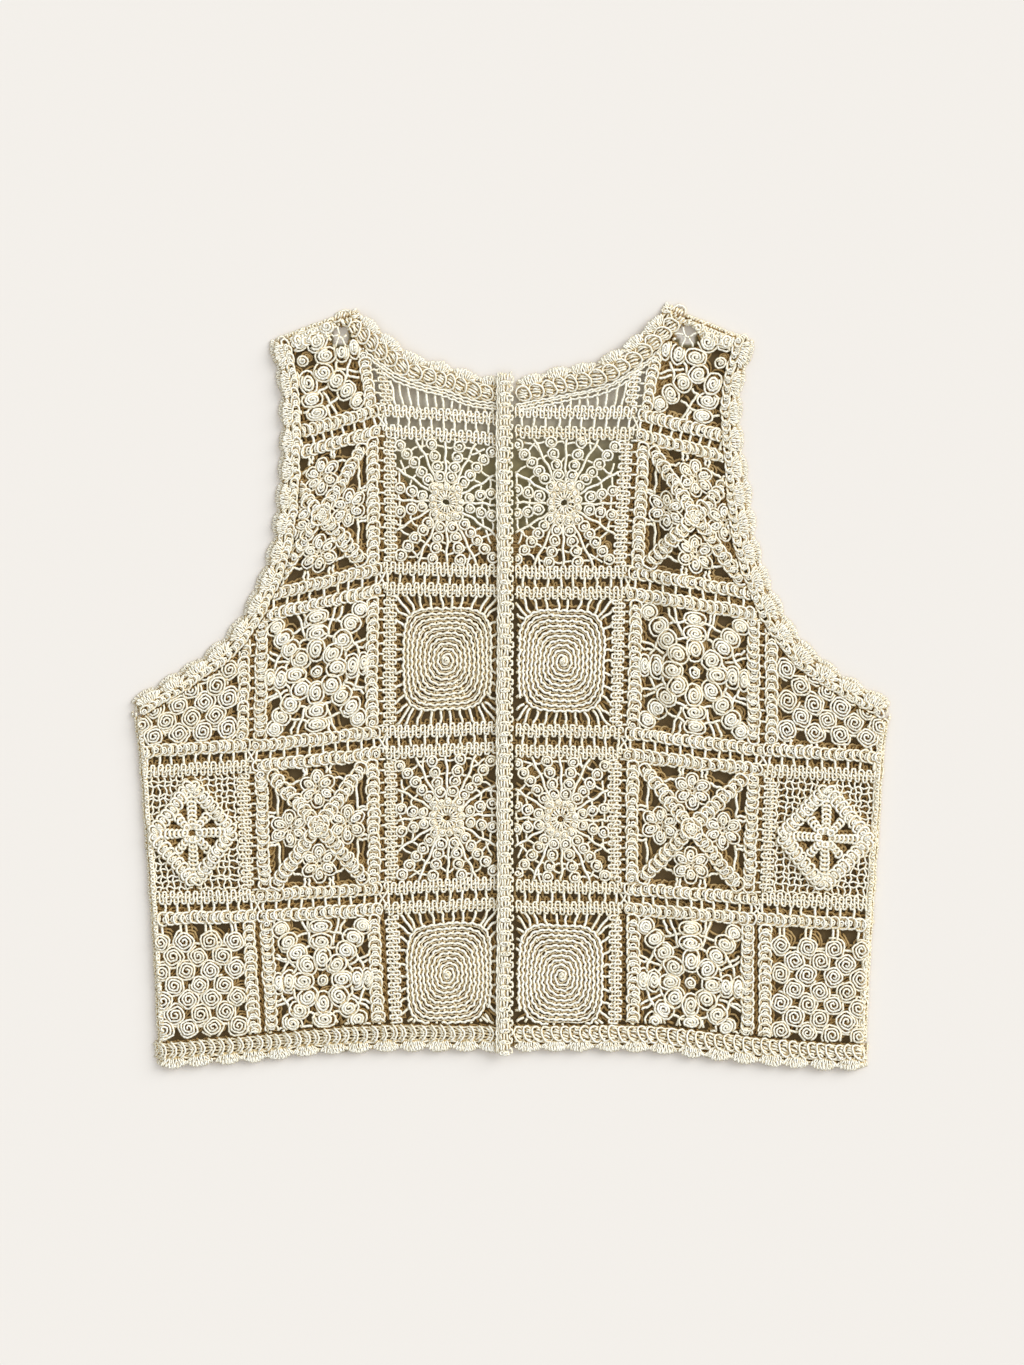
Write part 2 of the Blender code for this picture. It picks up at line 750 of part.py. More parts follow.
def band(material):
    """The centre band: it lies over the right front and butts against the left one."""
    over = CLOTH + BAND_CLEAR
    step_at = -CENTRE_EDGE + SEAM_GAP
    section = ((BAND_OVER, over), (step_at, over), (step_at, 0.0), (BAND_SEAM, 0.0)) + BAND_CREST
    count = round((BAND_TOP - BAND_FOOT) / BAND_STEP)
    vertices = []
    facets = []
    size = len(section)
    for index in range(count + 1):
        up = BAND_FOOT + (BAND_TOP - BAND_FOOT) * index / count
        lump = BAND_LUMP if index % 2 else 0.0
        for number, (across, height) in enumerate(section):
            rise = lump if number >= size - len(BAND_CREST) else 0.0
            vertices.append((across, up, lie(across, up) + height + rise))
    for index in range(count):
        for number in range(size):
            a = index * size + number
            b = index * size + (number + 1) % size
            facets.append([a, a + size, b + size])
            facets.append([a, b + size, b])
    facets.append(list(range(size)))
    facets.append([count * size + number for number in reversed(range(size))])
    solid("front_band", vertices, facets, material)


def main():
    fresh_scene()
    cream = cotton("crochet_cotton", COTTON)
    shade = cotton("crochet_cotton_back", COTTON_SHADE)
    count = back(shade)
    back_trims(shade)
    for side in ("right", "left"):
        count += front(side, cream)
        front_trims(side, cream)
    band(cream)
    print("holes", count)
    print("triangles", sum(len(item.data.polygons) for item in bpy.data.objects))
    for item in bpy.data.objects:
        print(item.name, len(item.data.polygons))


main()
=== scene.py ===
import math
import bpy
import numpy as np
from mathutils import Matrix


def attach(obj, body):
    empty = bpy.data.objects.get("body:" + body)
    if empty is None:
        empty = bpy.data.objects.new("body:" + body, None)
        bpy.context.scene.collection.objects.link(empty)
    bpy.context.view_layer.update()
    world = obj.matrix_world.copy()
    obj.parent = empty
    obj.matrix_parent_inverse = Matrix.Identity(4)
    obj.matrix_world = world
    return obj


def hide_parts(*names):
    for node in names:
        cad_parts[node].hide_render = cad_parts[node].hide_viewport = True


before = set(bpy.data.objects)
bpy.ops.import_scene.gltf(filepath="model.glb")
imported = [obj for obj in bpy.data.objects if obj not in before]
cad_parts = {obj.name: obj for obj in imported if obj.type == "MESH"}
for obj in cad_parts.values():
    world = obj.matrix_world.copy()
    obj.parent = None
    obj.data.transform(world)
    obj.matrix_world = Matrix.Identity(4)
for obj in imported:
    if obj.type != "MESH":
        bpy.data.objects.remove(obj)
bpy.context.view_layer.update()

# A sleeveless crochet cardigan of joined lace squares, laid flat, drawn yarn by yarn.
# Lengths are millimetres from the middle of the garment, as in the solids, until the meshes are made.
# x runs across towards the wearer's left, y up towards the neck, z off the table.

mm = 0.001
tau = 2 * math.pi
sideSign = {"right": -1, "left": 1}
dice = np.random.default_rng(7)

garment = {
    "middle": (0.502, 2.038),  # middle of the outline, which is on the origin
    "layer": 2.5,              # the fronts' underside over the table, where they lie on the back
    "backShows": 2.5,          # the back reaches this far past the fronts at sides and shoulders
    "centreEdge": 2.8,         # each front's edge from the centre line
    "outlineStep": 4.0,
}

# Edges of each front, (out from the centre line, up), from the centre band outwards.
# "right" is the wearer's right front, on the left of the picture.
edgeTables = {
    "right": {
        "neck": ((3, 215), (21, 217), (41, 224), (62, 230), (76, 239), (89, 250), (101, 260)),
        "armhole": ((163, 237), (159, 222), (156, 199), (156, 165), (158, 131), (162, 100),
                    (170, 76), (184, 49), (201, 30), (225, 14), (257, -5)),
        "side": ((257, -5), (252, -46), (247, -101), (244, -155), (241, -209), (238, -257)),
        "hem": ((238, -257), (211, -255), (170, -252), (130, -248), (75, -245), (3, -245)),
    },
    "left": {
        "neck": ((3, 215), (14, 217), (34, 222), (54, 226), (74, 236), (91, 250), (103, 262)),
        "armhole": ((166, 237), (160, 220), (156, 199), (157, 165), (160, 131), (165, 100),
                    (173, 76), (185, 51), (202, 29), (227, 11), (258, -7)),
        "side": ((258, -7), (253, -46), (249, -101), (246, -155), (243, -209), (240, -258)),
        "hem": ((240, -258), (210, -257), (170, -254), (129, -250), (88, -246), (3, -245)),
    },
}
backNeck = ((102, 261), (93, 219), (84, 178), (71, 144), (46, 120), (0, 110))

# Corners of the squares, (out, up): rows from the neck down, in each from the centre outwards.
squareCorners = {
    "right": (
        ((4, 288), (101, 290), (207, 263), (300, 233)),
        ((4, 178), (88, 185), (168, 163), (252, 131)),
        ((4, 76), (88, 77), (174, 56), (259, 35)),
        ((4, -31), (88, -34), (177, -44), (259, -48)),
        ((4, -137), (87, -141), (172, -145), (256, -148)),
        ((4, -243), (83, -248), (168, -252), (252, -256)),
    ),
    "left": (
        ((-4, 288), (102, 290), (219, 263), (306, 233)),
        ((-4, 184), (85, 183), (166, 161), (251, 131)),
        ((-4, 75), (80, 74), (172, 59), (260, 35)),
        ((-4, -33), (77, -35), (171, -46), (260, -52)),
        ((-4, -139), (77, -140), (168, -148), (256, -152)),
        ((-4, -245), (77, -249), (166, -256), (253, -262)),
    ),
}
patterns = (
    ("neckSpokes", "star", "none"),
    ("sunburst", "flowers", "none"),
    ("spiral", "star", "roses"),
    ("sunburst", "flowers", "diamond"),
    ("spiral", "star", "roses"),
)

# Lie of the cloth
folds = (  # side, crest across, upper end, lower end, half width, height
    ("left", 113, 175, -30, 10, 4.0),
    ("left", 118, -70, -205, 9, 2.2),
    ("right", 128, 120, 0, 12, 1.8),
    ("right", 196, -60, -190, 12, 1.5),
)
dip = {"reach": 80.0, "middle": 200.0, "depth": 2.0, "softness": 0.8}


def smoothStep(value):
    value = np.clip(value, 0.0, 1.0)
    return value * value * (3 - 2 * value)


def frontHeight(x, y):
    height = np.full_like(x, garment["layer"])
    for side, crest, top, foot, halfWidth, lift in folds:
        offset = (x - sideSign[side] * crest) / halfWidth
        fade = smoothStep((top - y) / (3 * halfWidth)) * smoothStep((y - foot) / (3 * halfWidth))
        height += lift * np.exp(-offset * offset) * fade
    depth = 1 - (x ** 2 + (y - dip["middle"]) ** 2) / dip["reach"] ** 2
    return height - dip["depth"] * smoothStep(depth / dip["softness"])


def backHeight(x, y):
    return np.zeros_like(x)


# Lines in the plane

def walkedAlong(line):  # the way from its start to each of its points
    return np.concatenate([[0], np.cumsum(np.linalg.norm(np.diff(line, axis=0), axis=1))])


def lengthOf(line):
    return np.linalg.norm(np.diff(line, axis=0), axis=1).sum()


def evenLine(line, step):
    line = np.asarray(line, float)
    walked = walkedAlong(line)
    stops = np.linspace(0, walked[-1], max(2, round(walked[-1] / step) + 1))
    return np.stack([np.interp(stops, walked, line[:, axis]) for axis in (0, 1)], 1)


def smoothLine(table):
    table = np.array(table, float)
    fine = []
    for index, (start, end) in enumerate(zip(table, table[1:])):
        before, after = table[max(index - 1, 0)], table[min(index + 2, len(table) - 1)]
        t = np.linspace(0, 1, 12, endpoint=False)[:, None]
        fine.append(0.5 * (2 * start + (end - before) * t
                           + (2 * before - 5 * start + 4 * end - after) * t ** 2
                           + (3 * start - before - 3 * end + after) * t ** 3))
    return evenLine(np.vstack(fine + [table[-1:]]), garment["outlineStep"])


def leftOf(ways):  # a quarter turn to the left of each
    return np.stack([-ways[:, 1], ways[:, 0]], 1)


def normalsOf(line):  # to the right of the line's direction, which is into the cloth
    along = np.gradient(line, axis=0)
    return -leftOf(along / np.linalg.norm(along, axis=1)[:, None])


def offsetLine(line, distance):
    return line + normalsOf(line) * distance


def cutEnd(line, a, b):  # where it crosses the straight line through a and b
    edge = b - a
    for index, (start, end) in enumerate(zip(line, line[1:])):
        run = end - start
        cross = run[0] * edge[1] - run[1] * edge[0]
        if abs(cross) < 1e-9:
            continue
        t = ((a[0] - start[0]) * edge[1] - (a[1] - start[1]) * edge[0]) / cross
        if 0 < t <= 1 or index == len(line) - 2:
            return np.vstack([line[:index + 1], start + run * t])
    return line


def cutBoth(line, before, after):
    return cutEnd(cutEnd(line[::-1], *before)[::-1], *after)


def edgeLines(side, reach):
    table = edgeTables[side]
    shoulder = np.array([table["neck"][-1], table["armhole"][0]], float)
    return {
        "neck": smoothLine(table["neck"]),
        "shoulder": offsetLine(shoulder, -reach),
        "armhole": offsetLine(smoothLine(table["armhole"]), -reach),
        "side": offsetLine(smoothLine(table["side"]), -reach),
        "hem": smoothLine(table["hem"]),
    }


def stripLine(lines, name, depth):
    centre = np.array([[garment["centreEdge"], 0], [garment["centreEdge"], 1]])
    return cutBoth(offsetLine(lines[name], depth), *{
        "neck": (centre, lines["shoulder"]),
        "armhole": (lines["shoulder"], lines["side"][:2]),
        "hem": (lines["side"][-2:], centre),
    }[name])


def toSide(side, line):
    return line * np.array([sideSign[side], 1])


def insideOf(loop, points):
    odd = np.zeros(len(points), bool)
    x, y = points[:, 0], points[:, 1]
    for a, b in zip(loop, np.roll(loop, -1, axis=0)):
        if a[1] != b[1]:
            crosses = (a[1] > y) != (b[1] > y)
            odd ^= crosses & (x < a[0] + (b[0] - a[0]) * (y - a[1]) / (b[1] - a[1]))
    return odd


# Yarn: a run is an array of (how many threads, points in each, x y z), closed or open, and a radius

yarn = {
    "stitch": 0.70,   # radius of the crochet yarn in borders and edgings
    "fine": 0.60,     # pulled tight in the small loops of roses and petals
    "chain": 0.86,    # chains of stitches that hang the motifs in their borders
    "round": 0.84,    # the spiral's rounds
    "under": 0.55,    # and what shows between them
}


def spread(count):
    return dice.uniform(-1, 1, count)


def randomTurns(count):
    return dice.uniform(0, tau, (count, 1))


def threads(x, y, z):
    return np.stack(np.broadcast_arrays(*np.atleast_2d(x, y, z)), 2)


def moved(runs, by):
    return [(run + by, closed, radius) for run, closed, radius in runs]


def rowsOf(centres, *values):  # a row for each loop, of what is given for all or for each
    centres = np.atleast_2d(np.asarray(centres, float))
    return centres, *[np.broadcast_to(np.asarray(value, float), len(centres))[:, None] for value in values]


def turned(centres, angles, a, c, z):
    return threads(centres[:, :1] + a * np.cos(angles) - c * np.sin(angles),
                   centres[:, 1:2] + a * np.sin(angles) + c * np.cos(angles), z)


def squareness(phase, power):  # 2 is a circle, more is a rounded square
    return (np.abs(np.cos(phase)) ** power + np.abs(np.sin(phase)) ** power) ** (-1 / power)


def ovals(centres, angles, along, across, points, lift, tilt=0.0, power=2.3, thick="fine"):
    centres, angles, along, across, lift = rowsOf(centres, angles, along, across, lift)
    phase = np.arange(points) * tau / points + randomTurns(len(centres))
    reach = squareness(phase, power) * (1 + 0.05 * dice.uniform(-1, 1, phase.shape))
    a, c = along * np.cos(phase) * reach, across * np.sin(phase) * reach
    return turned(centres, angles, a, c, lift + tilt * a / along), True, yarn[thick]


def curls(centres, angles, along, across, points, turns, lift, thick="fine"):  # coiled inside a loop
    centres, angles, along, across, lift = rowsOf(centres, angles, along, across, lift)
    share = np.linspace(0.12, 1, points)
    phase = share * turns * tau + randomTurns(len(centres))
    a, c = along * share * np.cos(phase), across * share * np.sin(phase)
    return turned(centres, angles, a, c, lift + 0.3 * (1 - share)), False, yarn[thick]


def strands(starts, ends, points, bend=0.5, ripple=0.3, lift=1.0, waves=2.0, thick="chain"):
    starts, ends = np.atleast_2d(np.asarray(starts, float)), np.atleast_2d(np.asarray(ends, float))
    t = np.linspace(0, 1, points)
    side = leftOf(ends - starts)
    side /= np.maximum(np.linalg.norm(side, axis=1), 1e-6)[:, None]
    bow = bend * spread(len(starts))[:, None] * np.sin(t * math.pi)
    bow = bow + ripple * np.sin(t * tau * waves + randomTurns(len(starts)))
    x, y = [starts[:, [axis]] * (1 - t) + ends[:, [axis]] * t + side[:, [axis]] * bow for axis in (0, 1)]
    return threads(x, y, lift), False, yarn[thick]


def bars(pairs, *shape):  # strands from pairs of ends
    return strands(*np.swapaxes(pairs, 0, 1), *shape)


# Bands are drawn as (along, across, z) and then laid on a line

def spaced(length, pitch, stray):  # stitches along it: how many, from one to the next, and their places
    count = max(2, round(length / pitch))
    step = length / count
    return count, step, (np.arange(count) + 0.5 + stray * spread(count)) * step


def serpentine(length, width, pitch, lift=1.5, shift=0.0):
    count = max(2, round(length / pitch))
    k = np.arange(count * 12 + 1)
    phase = (k + shift) * tau / 12
    uneven, astray = [np.interp(k / 6, np.arange(count * 2 + 2), spread(count * 2 + 2)) for _ in range(2)]
    along = k * (length / count) / 12 - 0.13 * pitch * np.sin(2 * phase) + 0.07 * pitch * astray
    across = np.clip(1.15 * np.sin(phase), -1, 1) * (1 + 0.06 * uneven) + 0.06 * astray
    return threads(along, width / 2 * across, lift - 0.35 * np.abs(np.sin(phase))), False, yarn["stitch"]


def rail(length, place, step=2.6, lift=0.8, ripple=0.35):
    points = max(3, round(length / step))
    return strands((0, place), (length, place), points, 0.2, ripple, lift, length / 7, "stitch")


def loopBorder(length, width):
    twice = 2 * max(2, round(length / lace["loopPitch"]))
    knots = (np.arange(twice) + 0.5 + 0.2 * spread(twice)) * length / twice
    aside = 0.10 * width * spread(twice)
    return [serpentine(length, width - 1.3, lace["loopPitch"]),
            strands(np.stack([knots - 0.9, aside - 0.8], 1), np.stack([knots + 0.9, aside + 0.8], 1),
                    3, 0.5, 0.2, 1.6, 1.0, "fine"),
            rail(length, width * 0.22, lift=0.5), rail(length, -width * 0.22, lift=0.5),
            rail(length, 0, lift=0.2)]


def shellBorder(length, width, pitch):
    count, step, along = spaced(length, pitch, 0.10)
    centres = np.stack([along, 0.35 * spread(count)], 1)
    shells = ovals(centres, 0.22 * spread(count), step * 0.68, (width / 2 - 0.6) * (1 + 0.08 * spread(count)),
                   12, 1.35, 0.75, 2.6, "stitch")
    centres = np.stack([along - 0.25 * step, centres[:, 1] + 0.8 * spread(count)], 1)
    inside = curls(centres, 0.5 * spread(count), step * 0.50, width * (0.36 + 0.04 * spread(count)),
                   11, 1.9, 1.65)
    return [shells, inside, rail(length, width * 0.30, lift=0.3), rail(length, -width * 0.30, lift=0.3)]


def crescents(length, width, pitch, lift):
    count, step, along = spaced(length, pitch, 0.06)
    along = along[:, None]
    found = []
    for back, tall, points, high, thick in ((0.0, 0.50, 9, 1.4, "stitch"), (0.30, 0.40, 7, 0.8, "fine")):
        t = np.linspace(-1, 1, points)
        place = along - step * (0.55 * (1 - t * t) - 0.35 - back)
        place = place + 0.25 * dice.uniform(-1, 1, (count, points))
        across = width * tall * t * (1 + 0.05 * dice.uniform(-1, 1, (count, points)))
        found.append((threads(place, across, lift + high - 0.5 * t * t), False, yarn[thick]))
    for place in (-0.36, -0.20, -0.04, 0.12, 0.28):  # ribs from each crescent to the next
        found.append((threads(along + step * np.array([-0.12, 0.18, 0.48]) * (1.1 - abs(place)),
                              width * (place + np.array([-0.02, 0.0, 0.05])) + 0.3 * spread(count)[:, None],
                              lift + np.array([0.9, 0.7, 0.4])), False, yarn["fine"]))
    return found


def leaningShells(length, width, pitch, lift):
    count, step, along = spaced(length, pitch, 0.06)
    centres = np.stack([along, 0.3 * spread(count)], 1)
    lean = -0.45 + 0.12 * spread(count)
    found = [ovals(centres, lean, step * 0.52, width / 2, 13, lift + 0.5, 0.8, 2.2, "stitch")]
    way = np.stack([np.cos(lean + 0.75), np.sin(lean + 0.75)], 1)
    for place in (-3.2, -1.1, 1.0, 3.0):  # slanting ribs inside each shell
        middle = centres + leftOf(way) * (place + 0.35 * spread(count))[:, None]
        reach = way * (step * (0.40 - 0.03 * abs(place)) * (1 + 0.15 * spread(count)))[:, None]
        found.append(strands(middle - reach, middle + reach, 4, 0.8, 0.25, lift + 0.7, 1.0, "stitch"))
    return found


def onLine(runs, line):
    walked = walkedAlong(line)
    sides, steps = normalsOf(line), np.diff(line, axis=0)[[0, -1]] / max(walked[1], 1e-6)
    laid = []
    for run, closed, radius in runs:
        along, across = run[:, :, 0], run[:, :, 1]
        past = np.clip(along, None, 0) + np.clip(along - walked[-1], 0, None)
        x, y = [np.interp(along, walked, line[:, axis])
                + past * np.interp(along, walked[[0, -1]], steps[:, axis])
                + across * np.interp(along, walked, sides[:, axis]) for axis in (0, 1)]
        laid.append((threads(x, y, run[:, :, 2]), closed, radius))
    return laid


# Patterns of the squares, each in its own millimetres from the middle of its opening

lace = {
    "sideGap": 1.4,      # half the gap between squares, across
    "rowGap": 2.3,       # half the gap between squares, up
    "sideBand": 9.3,     # width of the upright border bands
    "levelBand": 9.4,    # and of the level ones
    "frontInset": 6.2,   # from the corner of a square to its opening under the centre band
    "barPitch": 8.6,     # spacing of the bars that join the rows of squares
    "tiePitch": 7.6,     # and of those that join the columns
    "loopPitch": 5.3,    # pitch of the long loops in a plain border
    "shellPitch": 5.5,   # pitch of the shells in a shell border
    "beads": (4.1, 3.6, 2.9),  # radii of a sunburst's roses: outer, further in, round its middle
    "hole": 2.7,         # and of the hole in its middle
    "rounds": 10.6,      # rounds of a spiral
    "wavePitch": 5.4,    # pitch of the waves in them
    "petalFullness": 1.12,
    "petal": (5.7, 4.3),  # a flower's petals: half their length and width
    "petalCurl": (4.6, 2.9),  # and those of the coil inside each
    "petalOut": 7.1,     # and their place from the flower's middle
    "rose": 7.5,         # radius of the large roses
    "roseRows": 9.7,     # from row to row of them
    "ringStep": 4.7,     # from stitch to stitch of the diamond's ring
    "netStep": 4.3,      # mesh of the net round it
}
quarters = ((1, 1), (-1, 1), (-1, -1), (1, -1))


def inQuarters(points):  # the same points in each quarter of a square
    return np.vstack([np.array(points) * quarter for quarter in quarters])


def waysRound(count, first=0.0, tall=1.0):  # evenly turned ways out of a middle
    turns = np.arange(count) * tau / count + first
    return np.stack([np.cos(turns), tall * np.sin(turns)], 1)


def roseLoops(centres, radii, lift):  # small roses: a ring with a curl inside
    radii = np.asarray(radii)
    return [ovals(centres, 0, radii - 0.55, radii - 0.55, 11, lift, 0, 2.0, "stitch"),
            curls(centres, 0, radii * 0.60, radii * 0.60, 10, 1.5, lift + 0.5, "stitch")]


def sunburst(wide, high):
    outer, inner, innermost = lace["beads"]
    centres, sizes = [], []
    for end in inQuarters([(0.29, 0.95), (0.93, 0.90), (0.93, 0.19)]) * [wide, high]:
        length = np.linalg.norm(end)
        for back in (0, 7.9, 15.4, 22.6, 29.3, 35.5):
            if length - back > 11.5:
                centres.append(end / length * (length - back) + 0.35 * spread(2))
                sizes.append(outer if length - back > 17 else inner)
    centres = np.vstack([centres, waysRound(13, 0.2, 1.1) * 9.6])
    found = roseLoops(centres, sizes + [innermost] * 13, 1.3)
    rays = waysRound(19, 0.0, 1.05)
    found.append(strands(rays * lace["hole"], rays * 7.6, 4, 0.5, 0.2, 1.7, 1.0, "fine"))
    found.append(ovals([(0, 0)] * 3, 0.3, (2.9, 4.8, 7.0), (2.4, 4.4, 6.9), 18, (1.3, 0.7, 1.0)))
    ends = np.vstack([[(0, 1), (0, -1), (1, 0), (-1, 0)], inQuarters([(0.60, 1), (1, 0.50)])])
    ends = ends * [wide + 0.8, high + 0.8]
    length = np.linalg.norm(ends, axis=1)[:, None]
    way = ends / length
    side = leftOf(way)
    found.append(strands(way * 11.0, ends, 14, 0.8, 0.45, 1.1, 2.3))
    rungs = []
    for end, aside in zip(ends, side):  # from each spoke to the roses beside it
        for share in (0.70, 0.90):
            spot = end * (share + 0.04 * spread(1)[0])
            gap = centres - spot
            for turn in (-1, 1):
                away = np.where(turn * (gap @ aside) > 1.5, np.linalg.norm(gap, axis=1), 99)
                nearest = away.argmin()
                if away[nearest] < 15:
                    rungs.append((spot, spot + gap[nearest] * (1 - 2.8 / away[nearest])))
    found.append(bars(rungs, 6, 1.1, 0.2, 0.9, 1.0, "stitch"))
    found.append(strands((ends * 0.80)[4:], (ends + side * 7.0)[4:], 7, 1.6, 0.3, 0.9, 1.0, "stitch"))
    return found


def spiral(wide, high):
    rounds, step, lift = lace["rounds"], 1.45, 1.45
    across, up = wide - 3.1, high - 6.3
    phase = np.sqrt(np.linspace(0.0005, 1, 2400)) * rounds * tau
    share = phase / (rounds * tau)
    reach = share * squareness(phase, 2 + 2.4 * share ** 1.3)
    line = evenLine(np.stack([across * reach * np.cos(phase), up * reach * np.sin(phase)], 1), step)
    walked = np.arange(len(line)) * step
    away = np.linalg.norm(line / [across, up], axis=1)
    wave = np.sin(walked * tau / lace["wavePitch"] + 0.6 * np.sin(walked / 41))
    wave = 0.52 * wave * np.clip(away * 4, 0.1, 1)
    under = line[16:] * (1 - 1.6 / np.maximum(np.linalg.norm(line[16:], axis=1), 3))[:, None]
    found = [(threads(*(line + normalsOf(line) * wave[:, None]).T,
                      lift + 0.3 * np.sin(walked * tau / lace["wavePitch"] + 1.0)), False, yarn["round"]),
             (threads(*under.T, 0.1), False, yarn["under"])]
    found += roseLoops([(0.4, 0.2)], [2.6], 1.5)
    angle = dice.uniform(0, tau, 110)  # small stitches that hold the rounds together
    place = np.sqrt(dice.uniform(0.03, 0.90, 110))
    start = np.stack([across * place * np.cos(angle), up * place * np.sin(angle)], 1)
    found.append(strands(start, start * (1 - 3.2 / 33), 3, 0.2, 0.1, 0.8, 2.0, "stitch"))
    spokes = []  # that hang it in its border
    for place in (-0.72, -0.52, -0.31, -0.10, 0.10, 0.31, 0.52, 0.72):
        spokes += [((across * place, sign * up * (0.91 - 0.13 * place ** 4)),
                    (wide * place * 1.13 + 0.8 * spread(1)[0], sign * (high + 1.0))) for sign in (-1, 1)]
    for place in (-0.80, -0.61, -0.41, -0.20, 0.0, 0.20, 0.41, 0.61, 0.80):
        spokes += [((sign * across * (0.91 - 0.13 * place ** 4), up * place),
                    (sign * (wide + 1.2), high * place * 1.06 + 0.8 * spread(1)[0])) for sign in (-1, 1)]
    spokes += [((sx * across * 0.78, sy * up * 0.82), (sx * wide * 1.02, sy * high * 1.02))
               for sx, sy in quarters]
    return found + [bars(spokes, 6, 1.0, 0.4, 1.0, 1.2)]


def neckSpokes(wide, high):
    across = np.append(-0.93, np.append(np.arange(-0.78, 0.83, 0.16), 0.96)) * wide
    return [bars([((x, -high - 1.0), (x * 1.05 - 0.6, 17 - high)) for x in across], 8, 0.8, 0.4, 0.9, 1.2)]


def star(wide, high):
    petals = []
    for sx, sy in quarters:
        lean = math.atan2(sy * high, sx * wide)
        petals += [(sx * place * wide, sy * level * high, lean, along, across)
                   for place, level, along, across in ((0.32, 0.25, 6.4, 5.5), (0.53, 0.46, 5.2, 6.0),
                                                       (0.70, 0.66, 4.9, 6.2), (0.87, 0.86, 4.4, 5.2))]
    for place, along, across in ((0.36, 7.0, 5.2), (0.64, 4.7, 7.0), (0.88, 4.1, 6.8)):
        petals += [(0, sign * place * high, tau / 4 * sign, along, across) for sign in (-1, 1)]
    for place, along, across in ((0.43, 6.4, 4.9), (0.72, 4.2, 6.9), (0.95, 3.3, 6.6)):
        petals += [(sign * place * wide, 0, tau / 4 * (1 - sign), along, across) for sign in (-1, 1)]
    petals = np.array(petals)
    centres = petals[:, :2] + dice.uniform(-0.5, 0.5, (len(petals), 2))
    lean, along, across = petals[:, 2], *(lace["petalFullness"] * petals[:, 3:]).T
    found = [ovals(centres, lean, along, across, 14, 1.3, 0.35, 2.4, "stitch"),
             curls(centres, lean, along * 0.80, across * 0.80, 26, 2.7, 1.7, "chain")]
    found += roseLoops([(0, 0)], [4.1], 1.6)
    pairs = []
    for number, way in enumerate(waysRound(8, tau / 16) * [wide, high]):
        if number in (0, 3, 4, 7):
            edge = np.array([math.copysign(wide + 1, way[0]), way[1] * 1.05])
        else:
            edge = np.array([way[0] * 1.05, math.copysign(high + 1, way[1])])
        side = leftOf(way[None])[0] / np.linalg.norm(way)
        pairs += [(way * 0.60 - side * 5.5, way * 0.60 + side * 5.5),
                  (way * 0.84 - side * 7.5, way * 0.84 + side * 7.5),
                  (way * 0.62, edge), (way * 0.84 + side * 2.5, edge + side * 4.0)]
    return found + [bars(pairs, 8, 1.5, 0.45, 0.9, 1.5)]


def flowers(wide, high):
    found = []
    for quarter in quarters:
        arm = np.array([(0.5, 0.5), (wide - 1.5, high - 1.5)]) * quarter
        found += moved(onLine(shellBorder(lengthOf(arm), 10.4, 5.7), evenLine(arm, 3)), [0, 0, 0.5])
    middles = np.array([(0, 0.63 * high), (0, -0.63 * high), (0.60 * wide, 0), (-0.60 * wide, 0)])
    petals = (middles[:, None] + lace["petalOut"] * waysRound(6, tau / 4)).reshape(-1, 2)
    ways = np.tile(np.arange(6) * tau / 6 + tau / 4, 4)
    found.append(ovals(petals, ways, *lace["petal"], 14, 1.1, 0.6, 2.2))
    found.append(curls(petals, ways, *lace["petalCurl"], 20, 2.2, 1.8, "stitch"))
    starts = inQuarters([(6.8, high - 5), (9.0, high - 6), (wide - 5, 8.5), (wide - 6, 11),
                         (11, high - 8), (wide - 5.5, 9)])
    ends = inQuarters([(6.4, high + 1), (9.6, high + 1), (wide + 1, 9.0), (wide + 1, 11.5),
                       (20, high - 11), (wide - 6, 27)])
    return found + [strands(starts, ends, 6, 0.8, 0.5, 1.0, 1.5)]


def roses(wide, high):
    levels = (np.arange(7) - 3) * lace["roseRows"] + 1.5
    centres = []
    for row, level in enumerate(levels):
        places = (-0.54, 0.0, 0.54) if row % 2 else (-0.81, -0.27, 0.27, 0.81)
        centres += [(across * wide, level) for across in places]
    if wide > 20:  # one more column, where the side seam cuts the square
        centres += [(1.08 * wide, level) for level in levels[1::2]]
    centres = np.array(centres) + dice.uniform(-0.5, 0.5, (len(centres), 2))
    share = np.linspace(0.01, 1, 44) ** 0.60
    phase = share * 3.5 * tau + randomTurns(len(centres))
    size = lace["rose"] * (1 + 0.05 * spread(len(centres)))[:, None] * (0.08 + 0.92 * share)
    size = size * (1 + 0.07 * np.cos(4.2 * phase + randomTurns(len(centres))))
    run = turned(centres, 0, size * np.cos(phase), size * np.sin(phase), 1.1 + 1.3 * (1 - share ** 2))
    pairs = []
    for sign in (-1, 1):
        pairs += [((across * wide, sign * 33 + 1.5), (across * wide + 0.6, sign * (high + 2)))
                  for across in (-0.86, -0.76, -0.32, -0.22, 0.22, 0.32, 0.76, 0.86)]
        pairs += [((sign * (wide - 3), up), (sign * (wide + 1), up + 0.6)) for up in (-30, -12, -9, 8, 11, 28)]
        pairs += [((across * wide, sign * 28 + 1.5), ((across + 0.30) * wide, sign * 28 + 1.5))
                  for across in (-0.69, -0.15, 0.39)]
    return [(run, False, yarn["stitch"]), bars(pairs, 4, 0.8, 0.2, 0.9)]


